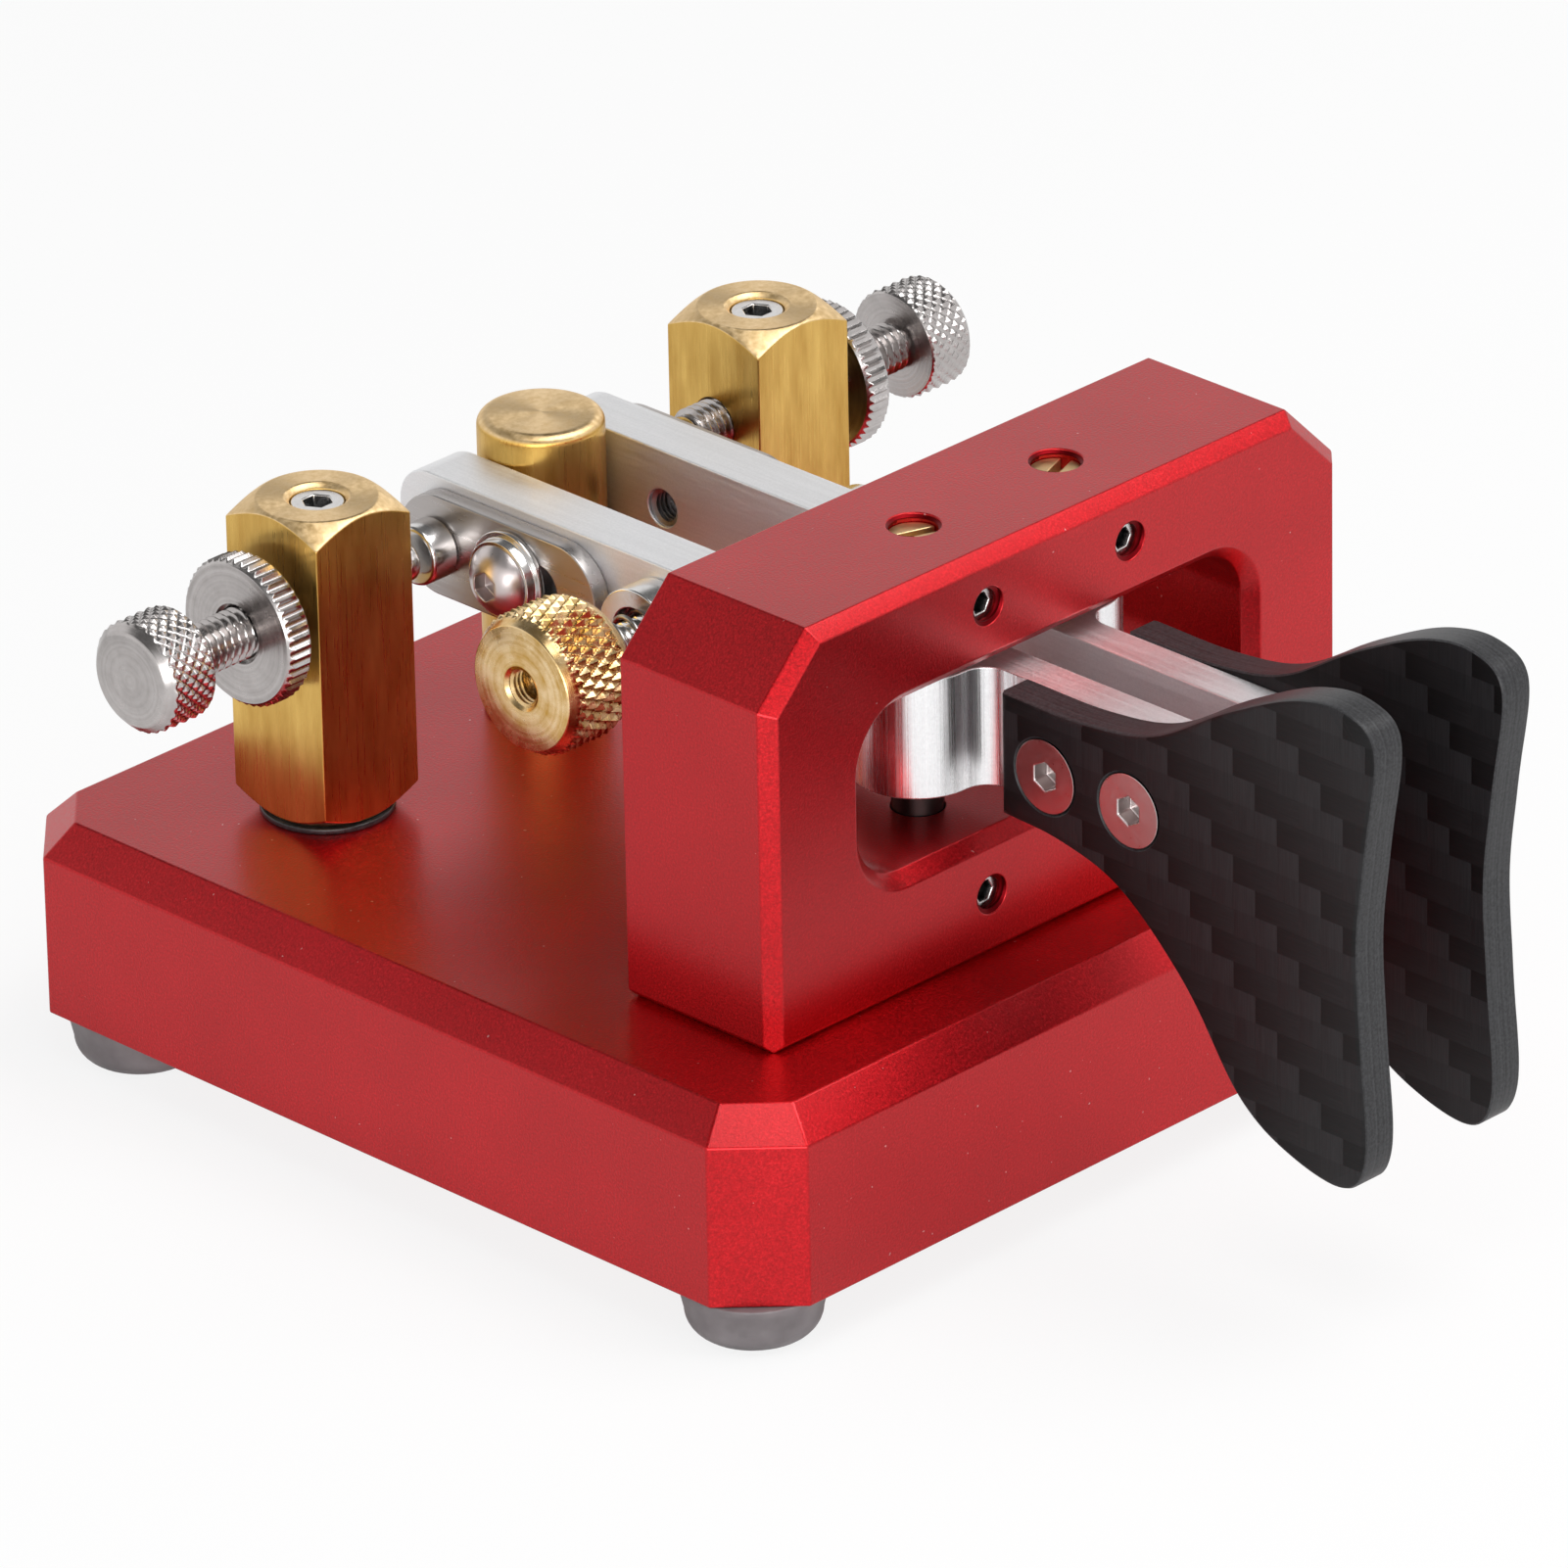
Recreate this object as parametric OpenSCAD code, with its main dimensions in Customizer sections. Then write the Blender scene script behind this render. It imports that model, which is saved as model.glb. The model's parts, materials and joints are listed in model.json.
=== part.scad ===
// Double paddle morse key: two independent levers in a bridge frame on a heavy base.
// Millimetres, +Z up, +Y away from the operator, +X to the operator's right.
// The origin lies on the desk, under the middle of the key's overall outline.

/* [Base] */
// Width of the base plate
base_width = 80; // [78:0.5:110]
// Depth of the base plate
base_depth = 79; // [77:0.5:110]
// Thickness of the base plate
base_thickness = 15.2; // [14:0.1:25]
// Cut across each vertical corner of the base
base_corner_cut = 5.1; // [2:0.1:8]
// Chamfer round the top of the base
base_top_chamfer = 2.4; // [0.5:0.1:4]
// Height of a rubber foot
foot_height = 4.1; // [2.5:0.1:8]
// Radius of a foot where it meets the base
foot_radius = 5.55; // [4:0.05:8]
// Distance from the left and right sides of the base to a foot's centre
foot_side_inset = 5.6; // [5:0.1:9]
// Distance from the front of the base to a front foot's centre
foot_front_inset = 6.2; // [5:0.1:9]
// Distance from the rear of the base to a rear foot's centre
foot_rear_inset = 9; // [5:0.1:12]
// Round at the bottom edge of a foot
foot_edge_radius = 2; // [0.5:0.1:2.4]
// Narrowing of a foot above its round
foot_draft = 0.5; // [0.1:0.05:0.8]

/* [Frame] */
// Width of the bridge frame
frame_width = 60; // [58:0.5:74]
// Thickness of the bridge frame from front to rear
frame_thickness = 14.7; // [12:0.1:20]
// Height of the bridge frame
frame_height = 31.9; // [29:0.1:45]
// Distance from the front edge of the base to the frame
frame_setback = 8.1; // [4:0.1:14]
// Cut across each top corner of the frame
frame_corner_cut = 5; // [1:0.1:7]
// Chamfer round the frame's foot
frame_foot_chamfer = 0.5; // [0.2:0.05:1]
// Chamfer round the front edges of the frame
frame_edge_chamfer = 1.05; // [0.3:0.05:2]
// Width of the window that the levers pass through
window_width = 40.3; // [36:0.1:42]
// Height of the window
window_height = 13.4; // [12.5:0.1:15]
// Height of the window's floor above the base
window_floor = 9.55; // [7:0.05:12]
// Radius of the window's corners
window_radius = 4.2; // [1:0.1:6]
// Chamfer round the window's front edge
window_chamfer = 1.05; // [0.3:0.05:2]
// Distance between the two screws that hold the frame
frame_screw_spacing = 50; // [48:0.5:54]

/* [Pivots] */
// Distance between the two pivot axes
pivot_spacing = 14.8; // [14:0.1:17]
// Radius of a pivot screw
pivot_screw_radius = 1.95; // [1.5:0.05:2.4]
// Radius of a pivot screw's pin
pivot_pin_radius = 1; // [0.6:0.05:1.2]
// Length of the pin inside the lever
pivot_pin_engagement = 2.5; // [1.5:0.1:3.5]
// Depth of a pivot screw's end below the face that it enters
pivot_screw_recess = 0.7; // [0.1:0.1:2]
// Gap between a lower pivot screw's shoulder and its lever
lower_pivot_gap = 0.4; // [0.3:0.05:1]
// Radius of the screws that lock the pivots
lock_screw_radius = 1.45; // [1:0.05:1.7]
// Depth of a lock screw's end below the frame's front
lock_screw_recess = 0.8; // [0.1:0.1:1.5]
// Distance of the upper lock screws below the frame's top
upper_lock_drop = 4.16; // [3.5:0.02:5]
// Height of the lower lock screws above the base
lower_lock_rise = 4.75; // [3:0.05:5.5]

/* [Levers] */
// Height of a lever
lever_height = 9.5; // [8.6:0.1:10]
// Room between a lever's top and the window's ceiling
lever_headroom = 1.2; // [0.6:0.1:2]
// Thickness of a rear arm
rear_arm_thickness = 4.65; // [3.5:0.05:6]
// Thickness of a front arm
front_arm_thickness = 3.12; // [2.4:0.02:4]
// Space between the two front arms
front_arm_gap = 4.24; // [3:0.02:5]
// Radius of the boss round a pivot
lever_boss_radius = 4.8; // [3.8:0.1:5]
// Round between the boss and the front arm
boss_fillet_radius = 2; // [0.5:0.1:3]
// Length of a lever behind its contact
lever_rear_reach = 5.42; // [4.8:0.01:7]
// Length of a lever in front of its pivot
lever_front_reach = 26; // [25:0.1:30]
// Round at the rear end of a lever
lever_end_radius = 3; // [0.5:0.1:4]

/* [Paddles] */
// Thickness of a paddle
paddle_thickness = 3; // [2.2:0.1:4]
// Distance from the pivot axis to a paddle's rear edge
paddle_start = 9.2; // [8:0.1:10]
// Overhang of a paddle's rear edge above and below its arm
paddle_lip = 0.1; // [0:0.05:0.5]
// Distance from the pivot axis to the nearer paddle screw
paddle_screw_reach = 13.5; // [13:0.1:15]
// Distance between the two screws of a paddle
paddle_screw_pitch = 8.2; // [7:0.1:9]
// Distance of the paddle screws below the lever's axis
paddle_screw_drop = 0.5; // [0:0.1:1]
// Radius of a paddle screw
paddle_screw_radius = 1.45; // [1:0.05:1.6]
// Radius of a paddle screw's countersunk head
paddle_head_radius = 2.9; // [2.2:0.05:3.2]

/* [Contacts] */
// Distance from the tension rod to the contacts
contact_reach = 21.98; // [21.5:0.01:22.7]
// Gap between a lever's contact and its screw at rest
contact_gap = 0.65; // [0.5:0.01:1.5]
// Length of a contact plate
plate_length = 20.6; // [18:0.1:24]
// Height of a contact plate
plate_height = 8; // [7.5:0.1:9]
// Thickness of a contact plate
plate_thickness = 1.5; // [1:0.05:2]
// Width of the slot in a contact plate
plate_slot_width = 3.4; // [3.2:0.05:4]
// Length of the slot in a contact plate
plate_slot_length = 7.7; // [6.5:0.1:8.5]
// Distance from the contact to the middle of the slot
plate_slot_reach = 8.63; // [8.2:0.01:9.1]
// Distance from the contact to the screw in the slot
plate_screw_reach = 7.73; // [7.3:0.01:8.2]
// Radius of the screw in the slot
plate_screw_radius = 1.45; // [1:0.05:1.5]
// Length of that screw inside the lever
plate_screw_engagement = 2.2; // [1.5:0.1:4]
// Radius of the button head of that screw
plate_head_radius = 2.85; // [2.4:0.05:3.2]
// Height of the button head
plate_head_height = 1.65; // [1.2:0.05:2]
// Radius of the flat washer
flat_washer_radius = 3.6; // [3.3:0.05:3.9]
// Thickness of the flat washer
flat_washer_thickness = 0.5; // [0.3:0.05:0.8]
// Radius of the spring washer
spring_washer_radius = 3.1; // [2.6:0.05:3.3]
// Thickness of the spring washer
spring_washer_thickness = 0.8; // [0.5:0.05:1.2]
// Radius of a contact button
button_radius = 2.35; // [1.8:0.05:3]
// Height of a contact button
button_height = 2.55; // [1.5:0.05:3.5]
// Radius of the rivet behind a button and of the stem behind a tip
contact_stem_radius = 0.9; // [0.6:0.05:1.1]
// Radius of the tip of a contact screw
tip_radius = 1.6; // [1.2:0.05:1.8]
// Height of the tip of a contact screw
tip_height = 1; // [0.6:0.1:1.4]
// Length of the stem behind a tip
tip_stem_length = 2.5; // [1.5:0.1:4]
// Radius of a contact screw
contact_screw_radius = 2; // [1.7:0.05:2.2]
// Length of a contact screw between its post and its head
contact_screw_projection = 9.75; // [7:0.05:14]
// Radius of a contact screw's head
contact_head_radius = 4.4; // [3.5:0.1:6]
// Length of a contact screw's head
contact_head_length = 4.7; // [4:0.1:8]
// Chamfer on a contact screw's head
contact_head_chamfer = 0.85; // [0.2:0.05:1.2]
// Radius of a lock nut
lock_nut_radius = 5.8; // [4.5:0.1:7]
// Thickness of a lock nut
lock_nut_thickness = 2.4; // [1.8:0.1:4]
// Distance between a lock nut and its post
lock_nut_gap = 1.35; // [0.1:0.05:2.5]

/* [Posts] */
// Distance between the two contact posts
contact_post_spacing = 45.9; // [44.5:0.1:48]
// Width of a square contact post
contact_post_width = 9.6; // [8.6:0.1:10]
// Height of a contact post above the lever's axis
contact_post_rise = 8.2; // [7.5:0.1:10]
// Radius of the flat at each end of a contact post
contact_post_flat = 4.55; // [4.2:0.05:4.75]
// Slope of the turned chamfer at each end of a contact post
contact_post_slope = 33; // [15:1:45]
// Radius of the mouth of a contact post's top hole
post_mouth_radius = 2.45; // [2.3:0.05:3]
// Depth of a set screw below the top of its post
set_screw_recess = 0.4; // [0.1:0.1:1.5]
// Radius of an insulating washer under a contact post
post_washer_radius = 5.05; // [4.8:0.05:6]
// Thickness of an insulating washer
post_washer_thickness = 0.45; // [0.3:0.05:1]
// Radius of the stop post between the levers
stop_post_radius = 4.8; // [4.4:0.05:5.2]
// Height of the stop post above the lever's axis
stop_post_rise = 7.2; // [5:0.01:10]
// Round at the stop post's top edge
stop_post_round = 0.6; // [0.1:0.05:1]

/* [Tension] */
// Distance from the pivot axis to the tension rod
tension_reach = 23.75; // [23:0.05:25]
// Radius of the tension rod
rod_radius = 1.45; // [1.2:0.05:1.5]
// Radius of the post that holds the rod
tension_post_radius = 2.75; // [2.4:0.05:3.2]
// Height of that post above the rod's axis
tension_post_rise = 2; // [1.8:0.1:3]
// Radius of a spring cup
cup_radius = 3.75; // [3.2:0.05:4.2]
// Height of a spring cup
cup_height = 2.85; // [2.4:0.05:4]
// Radius of the cup's seat for the spring
cup_bore_radius = 2.25; // [2.2:0.05:2.5]
// Depth of the cup's seat
cup_bore_depth = 2; // [1:0.1:2.2]
// Radius of the spigot that holds the cup in the lever
cup_spigot_radius = 2.6; // [2.2:0.05:3]
// Length of the spigot
cup_spigot_length = 2; // [1:0.1:3]
// Length of a tension spring
spring_length = 7.05; // [6.4:0.05:9]
// Radius of a tension spring at the middle of its wire
spring_radius = 1.83; // [1.75:0.01:1.9]
// Radius of a spring's wire
spring_wire_radius = 0.2; // [0.12:0.01:0.22]
// Curls of a spring
spring_curls = 5.5; // [3:0.5:6]
// Radius of the left spring's tension knob
knob_radius = 5.6; // [4.5:0.05:7]
// Length of the tension knob
knob_length = 6.6; // [4.5:0.1:9]
// Chamfer on the tension knob, across its ends
knob_chamfer = 0.8; // [0.2:0.02:1.2]
// Chamfer on the tension knob, along its side
knob_chamfer_length = 1.3; // [0.2:0.05:2]
// Radius of the round nut that holds the right spring
tension_nut_radius = 2.55; // [2.45:0.05:4]
// Length of that nut
tension_nut_length = 3; // [2:0.1:5]
// Depth of the rod's end inside the knob
rod_recess = 1.75; // [0.5:0.05:3]

/* [Wiring] */
// Distance of the jack from the middle of the base
jack_offset = 11.7; // [11.5:0.1:12]
// Radius of the jack's bore
jack_bore_radius = 1.8; // [1.75:0.05:1.9]
// Depth of the jack's bore
jack_bore_depth = 14; // [12:0.5:15]
// Width and height of the jack's body
jack_body_width = 8.6; // [8:0.1:9]
// Length of the jack's body
jack_body_length = 12; // [11:0.5:14]
// Radius of the jack's collar
jack_collar_radius = 3; // [2.6:0.1:3.4]
// Radius of the jack's nut
jack_nut_radius = 4; // [3.8:0.1:5]
// Thickness of the jack's nut
jack_nut_thickness = 2; // [1.5:0.1:3]
// Thickness of the base's wall behind the jack
jack_wall = 2.5; // [1.5:0.1:3.5]
// Width of the groove for the wires
groove_width = 4; // [3.5:0.1:5]
// Depth of the groove and of the screw heads' seats
groove_depth = 4.5; // [4.4:0.1:6]
// Radius of a wire
wire_radius = 0.6; // [0.3:0.05:0.65]

/* [Fits] */
// Clearance of a screw in its hole
screw_clearance = 0.05; // [0.02:0.01:0.1]
// Clearance of a pin, rod or screw that turns
running_clearance = 0.05; // [0.02:0.01:0.1]
// Clearance of the tension rod in the levers
rod_clearance = 0.35; // [0.25:0.05:0.5]
// Gap between a lever and the stop post at rest
stop_gap = 0.05; // [0.02:0.01:0.2]
// Gap between faces that seat without touching
seat_gap = 0.05; // [0.02:0.01:0.1]

/* [Hidden] */
$fn = 64;

// Colours
anodised_red = [0.68, 0.13, 0.16];
brass = [0.78, 0.58, 0.25];
aluminium = [0.80, 0.80, 0.82];
steel = [0.70, 0.71, 0.73];
dark_steel = [0.20, 0.20, 0.21];
carbon = [0.10, 0.10, 0.11];
grey_rubber = [0.62, 0.63, 0.66];
black_nylon = [0.07, 0.07, 0.07];
black_plastic = [0.12, 0.12, 0.13];

// Room that a cut runs past the faces it opens
past = 1;

// Small chamfers of turned pieces
screw_end_chamfer = 0.3;
lock_nut_chamfer = 0.4;
knob_mouth_chamfer = 0.2;
tension_nut_chamfer = 0.3;

// Outline of a paddle seen from its outer side: millimetres behind the rear edge (negative is
// forward) and above the lever's axis, from the top of the rear edge round the grip to the bottom
tail_half_height = lever_height / 2 + paddle_lip;
paddle_knots = [
    [0, tail_half_height], [-7.8, 4.9], [-14.8, 6.2], [-21.8, 10.3], [-28.3, 13.4], [-33.2, 14.0],
    [-36.1, 11.7], [-35.2, 3.6], [-34.4, -3.9], [-34.8, -11.9], [-35.3, -20.3], [-33.2, -23.6],
    [-27.7, -22.7], [-22.9, -19.7], [-17.8, -12.7], [-11.6, -7.2], [-5.8, -5.3], [0, -tail_half_height]
];
paddle_steps = 4;

// Points between two knots b and c of a smooth curve, with a and d as their neighbours
function curve_point(a, b, c, d, t) =
    (2 * b + (c - a) * t + (2 * a - 5 * b + 4 * c - d) * t ^ 2 + (3 * b - a - 3 * c + d) * t ^ 3) / 2;
function knot_or_end(knots, i) =
    i < 0 ? 2 * knots[0] - knots[1]
    : i >= len(knots) ? 2 * knots[len(knots) - 1] - knots[len(knots) - 2]
    : knots[i];
function smooth_curve(knots, steps) = concat(
    [for (i = [0:len(knots) - 2], j = [0:steps - 1])
        curve_point(knot_or_end(knots, i - 1), knots[i], knots[i + 1], knot_or_end(knots, i + 2), j / steps)],
    [knots[len(knots) - 1]]
);
paddle_outline = smooth_curve(paddle_knots, paddle_steps);

// Lengths from front to rear: everything is set out from the middle of the base
rear_reach = base_depth / 2 + jack_nut_thickness + seat_gap;
pivot_to_base = base_depth / 2 - frame_setback - frame_thickness / 2;
front_reach = pivot_to_base + paddle_start - min([for (p = paddle_outline) p[0]]);
base_y = (front_reach - rear_reach) / 2;
base_front_y = base_y - base_depth / 2;
base_rear_y = base_y + base_depth / 2;
front_foot_y = base_front_y + foot_front_inset;
rear_foot_y = base_rear_y - foot_rear_inset;
pivot_y = base_y - pivot_to_base;
frame_front_y = pivot_y - frame_thickness / 2;
tension_y = pivot_y + tension_reach;
contact_y = tension_y + contact_reach;
plate_slot_y = contact_y - plate_slot_reach;
plate_screw_y = contact_y - plate_screw_reach;
lever_rear_end = tension_reach + contact_reach + lever_rear_reach;
paddle_rear_y = pivot_y - paddle_start;

// Heights
base_bottom = foot_height;
base_top = base_bottom + base_thickness;
window_ceiling = window_floor + window_height;
lever_z = base_top + window_ceiling - lever_headroom - lever_height / 2;
lever_bottom = lever_z - lever_height / 2;
lever_top = lever_z + lever_height / 2;
contact_post_bottom = base_top + post_washer_thickness;
contact_post_top = lever_z + contact_post_rise;
stop_post_top = lever_z + stop_post_rise;
tension_post_top = lever_z + tension_post_rise;
seat_z = base_bottom + groove_depth;

// Distances from the middle plane, on either side
foot_x = base_width / 2 - foot_side_inset;
pivot_x = pivot_spacing / 2;
frame_screw_x = frame_screw_spacing / 2;
front_arm_inner = front_arm_gap / 2;
front_arm_outer = front_arm_inner + front_arm_thickness;
rear_arm_inner = stop_post_radius + stop_gap;
rear_arm_outer = rear_arm_inner + rear_arm_thickness;
plate_outer = rear_arm_outer + plate_thickness;
button_outer = plate_outer + button_height;
tip_inner = button_outer + contact_gap;
contact_screw_inner = tip_inner + tip_height + seat_gap;
contact_post_x = contact_post_spacing / 2;
contact_post_outer = contact_post_x + contact_post_width / 2;
contact_head_inner = contact_post_outer + contact_screw_projection;
contact_head_outer = contact_head_inner + contact_head_length;
lock_nut_inner = contact_post_outer + lock_nut_gap;
cup_outer = rear_arm_outer + cup_height;
cup_floor = cup_outer - cup_bore_depth;
knob_inner = cup_floor + spring_length;
knob_outer = knob_inner + knob_length;
rod_end = knob_outer - rod_recess;

// Pieces under the base
m4_radius = 2;
m4_head_radius = 3.5;
m4_head_height = 2.6;
head_room = 0.5;
m4_seat_radius = m4_head_radius + head_room;
m4_reach = 8;
m3_radius = 1.45;
m3_head_radius = 2.75;
m3_head_height = 2;
m3_seat_radius = m3_head_radius + head_room;
m3_reach = 6;
bush_radius = 3;
bush_flange_radius = 4.6;
bush_flange_thickness = 0.8;
bush_room = 0.6;
bush_seat_radius = bush_flange_radius + bush_room;
lug_ring_radius = 3.4;
lug_thickness = 0.5;
lug_tab_width = 2.4;
lug_tab_reach = 7;
driver_room = 0.65;
pivot_access_radius = pivot_screw_radius + driver_room;
jack_x = jack_offset;
jack_z = base_bottom + base_thickness / 2;
jack_front_y = base_rear_y - jack_wall - jack_body_length;
jack_room = 0.4;
jack_pocket_width = jack_body_width + 2 * jack_room;
jack_tab_length = 3.5;
jack_tab_room = 1.5;
jack_pocket_front_y = jack_front_y - jack_tab_length - jack_tab_room;
jack_tab_spacing = 2.4;
jack_tab_width = 1.2;
jack_tab_thickness = 0.4;
jack_tab_rise = 0.9;
jack_tab_z = jack_z - jack_body_width / 2 + jack_tab_rise;
groove_setback = 8;
groove_y = contact_y - groove_setback;

// Sockets and slots of the screws
hex_2 = 2;
hex_1_5 = 1.5;
hex_3 = 3;
socket_depth = 1.3;
slot_width = 0.8;
slot_depth = 0.9;
slot_turn = 20;

// Springs and wires are tubes along a path
spring_rings_per_curl = 8;
tube_sides = 6;
spring_straight = 2 * spring_wire_radius;
spring_start = cup_floor + seat_gap;
spring_end = knob_inner - seat_gap;
spring_rings = spring_curls * spring_rings_per_curl;
function spring_turn(i) = 360 * i / spring_rings_per_curl;
function spring_spoke(i) = [0, cos(spring_turn(i)), sin(spring_turn(i))];
function spring_centre(i, x) = [x, 0, 0] + spring_radius * spring_spoke(i);
spring_coil_start = spring_start + spring_straight;
spring_coil_length = spring_end - spring_start - 2 * spring_straight;
spring_path = concat(
    [spring_centre(0, spring_start)],
    [for (i = [0:spring_rings]) spring_centre(i, spring_coil_start + spring_coil_length * i / spring_rings)],
    [spring_centre(spring_rings, spring_end)]
);
spring_spokes = concat(
    [spring_spoke(0)],
    [for (i = [0:spring_rings]) spring_spoke(i)],
    [spring_spoke(spring_rings)]
);
spring_gap = min([for (i = [0:len(spring_path) - 1], j = [0:len(spring_path) - 1])
    if (j - i > spring_rings_per_curl / 2) norm(spring_path[j] - spring_path[i])]) - 2 * spring_wire_radius;
echo("least gap between the curls of a tension spring", spring_gap);

function unit(v) = v / norm(v);
function path_direction(path, i) = unit(path[min(i + 1, len(path) - 1)] - path[max(i - 1, 0)]);
function ring_across(path, guides, i) =
    let (t = path_direction(path, i)) unit(guides[i] - (guides[i] * t) * t);
function tube_ring(path, guides, i, radius) =
    let (u = ring_across(path, guides, i), v = cross(path_direction(path, i), u))
    [for (k = [0:tube_sides - 1])
        path[i] + radius * (cos(360 * k / tube_sides) * u + sin(360 * k / tube_sides) * v)];

// A closed solid through rings of equally many points, each ring seen anticlockwise from the last one
module loft(rings) {
    count = len(rings[0]);
    last = len(rings) - 1;
    sides = [for (i = [0:last - 1], k = [0:count - 1])
        let (a = i * count + k, b = i * count + (k + 1) % count)
        each [[a, a + count, b + count], [a, b + count, b]]];
    first_cap = [for (k = [0:count - 1]) k];
    last_cap = [for (k = [count - 1:-1:0]) last * count + k];
    polyhedron(points = [for (ring = rings) each ring], faces = concat([first_cap, last_cap], sides));
}

module tube(path, guides, radius) {
    loft([for (i = [0:len(path) - 1]) tube_ring(path, guides, i, radius)]);
}

// Shapes that repeat
module on_both_sides() {
    children();
    mirror([1, 0, 0]) children();
}

module along_x(x0, x1, radius) {
    translate([x0, 0, 0]) rotate([0, 90, 0]) cylinder(h = x1 - x0, r = radius);
}

// A turned piece along X from points of radius and distance
module turned_x(points) {
    rotate([0, 90, 0]) rotate_extrude() polygon(points);
}

// A hexagon socket along X that opens at x and runs towards the middle plane
module hex_socket_x(x, width) {
    translate([x - socket_depth, 0, 0]) rotate([0, 90, 0])
        cylinder(h = socket_depth + past, r = width / sqrt(3), $fn = 6);
}

module hex_socket_z(width) {
    translate([0, 0, -past]) cylinder(h = socket_depth + past, r = width / sqrt(3), $fn = 6);
}

// A screw from below: head from the given height upwards, shank on to the top
module screw_from_below(head_z, shank_top, radius, head_radius, head_height, socket) {
    translate([0, 0, head_z]) difference() {
        union() {
            cylinder(h = head_height, r = head_radius);
            cylinder(h = shank_top - head_z, r = radius);
        }
        hex_socket_z(socket);
    }
}

module rounded_rectangle(width, height, radius) {
    square([width - 2 * radius, height], center = true);
    square([width, height - 2 * radius], center = true);
    for (x = [-1, 1], y = [-1, 1])
        translate([x * (width / 2 - radius), y * (height / 2 - radius)]) circle(radius);
}

module obround(length, width) {
    square([length - width, width], center = true);
    for (x = [-1, 1]) translate([x * (length - width) / 2, 0]) circle(width / 2);
}

// Base plate: a block with cut corners and a chamfered top
module top_chamfer_profile(width) {
    polygon([
        [-width / 2, 0], [width / 2, 0], [width / 2, base_thickness - base_top_chamfer],
        [width / 2 - base_top_chamfer, base_thickness], [base_top_chamfer - width / 2, base_thickness],
        [-width / 2, base_thickness - base_top_chamfer]
    ]);
}

module top_chamfer_bar(width, turn) {
    rotate([0, 0, turn]) rotate([90, 0, 0])
        linear_extrude(2 * (base_width + base_depth), center = true) top_chamfer_profile(width);
}

module base_blank() {
    across_corners = (base_width + base_depth - 2 * base_corner_cut) / sqrt(2);
    intersection() {
        top_chamfer_bar(base_width, 0);
        top_chamfer_bar(base_depth, 90);
        top_chamfer_bar(across_corners, 45);
        top_chamfer_bar(across_corners, -45);
    }
}

// A hole from below with a wider seat for a head
module seat_and_hole(radius, seat_radius) {
    translate([0, 0, base_bottom - past]) {
        cylinder(h = base_thickness + 2 * past, r = radius);
        cylinder(h = groove_depth + past, r = seat_radius);
    }
}

module groove(x0, x1, y0, y1, depth) {
    translate([x0, y0, base_bottom - past]) cube([x1 - x0, y1 - y0, depth + past]);
}

module wire_grooves() {
    half = groove_width / 2;
    groove(-contact_post_x - half, contact_post_x + half, groove_y - half, groove_y + half, groove_depth);
    on_both_sides()
        groove(contact_post_x - half, contact_post_x + half, groove_y, contact_y, groove_depth);
    groove(-half, half, tension_y, groove_y, groove_depth);
    pocket_half = jack_pocket_width / 2;
    pocket_left = jack_x - pocket_half;
    pocket_right = jack_x + pocket_half;
    pocket_depth = jack_z + pocket_half - base_bottom;
    groove(pocket_left, pocket_right, groove_y, jack_pocket_front_y + past, groove_depth);
    groove(pocket_left, pocket_right, jack_pocket_front_y, base_rear_y - jack_wall, pocket_depth);
}

module base_plate() {
    color(anodised_red) difference() {
        translate([0, base_y, base_bottom]) base_blank();
        on_both_sides() translate([frame_screw_x, pivot_y, 0])
            seat_and_hole(m4_radius + screw_clearance, m4_seat_radius);
        on_both_sides() translate([pivot_x, pivot_y, base_bottom - past])
            cylinder(h = base_thickness + 2 * past, r = pivot_access_radius);
        on_both_sides() translate([contact_post_x, contact_y, 0])
            seat_and_hole(bush_radius + screw_clearance, bush_seat_radius);
        translate([0, contact_y, 0]) seat_and_hole(m4_radius + screw_clearance, m4_seat_radius);
        translate([0, tension_y, 0]) seat_and_hole(m3_radius + screw_clearance, m3_seat_radius);
        wire_grooves();
        translate([jack_x, base_rear_y - jack_wall - past, jack_z]) rotate([-90, 0, 0])
            cylinder(h = jack_wall + 2 * past, r = jack_collar_radius + screw_clearance);
    }
}

module foot_profile() {
    core = foot_radius - foot_draft - foot_edge_radius;
    square([core, foot_height]);
    intersection() {
        translate([core, foot_edge_radius]) circle(foot_edge_radius);
        square([foot_radius, foot_edge_radius]);
    }
    polygon([
        [core, foot_edge_radius], [core + foot_edge_radius, foot_edge_radius],
        [foot_radius, foot_height], [core, foot_height]
    ]);
}

module rubber_feet() {
    color(grey_rubber) for (x = [-foot_x, foot_x], y = [front_foot_y, rear_foot_y])
        translate([x, y, 0]) rotate_extrude() foot_profile();
}

// Bridge frame, set out from the middle of its front face at the base
module frame_front_outline() {
    half = frame_width / 2;
    foot = frame_foot_chamfer;
    polygon([
        [-half, foot], [foot - half, 0], [half - foot, 0], [half, foot],
        [half, frame_height - frame_corner_cut], [half - frame_corner_cut, frame_height],
        [frame_corner_cut - half, frame_height], [-half, frame_height - frame_corner_cut]
    ]);
}

module frame_side_edges() {
    half = frame_width / 2;
    c = frame_edge_chamfer;
    linear_extrude(frame_height) polygon([
        [c - half, 0], [half - c, 0], [half, c], [half, frame_thickness], [-half, frame_thickness], [-half, c]
    ]);
}

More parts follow.
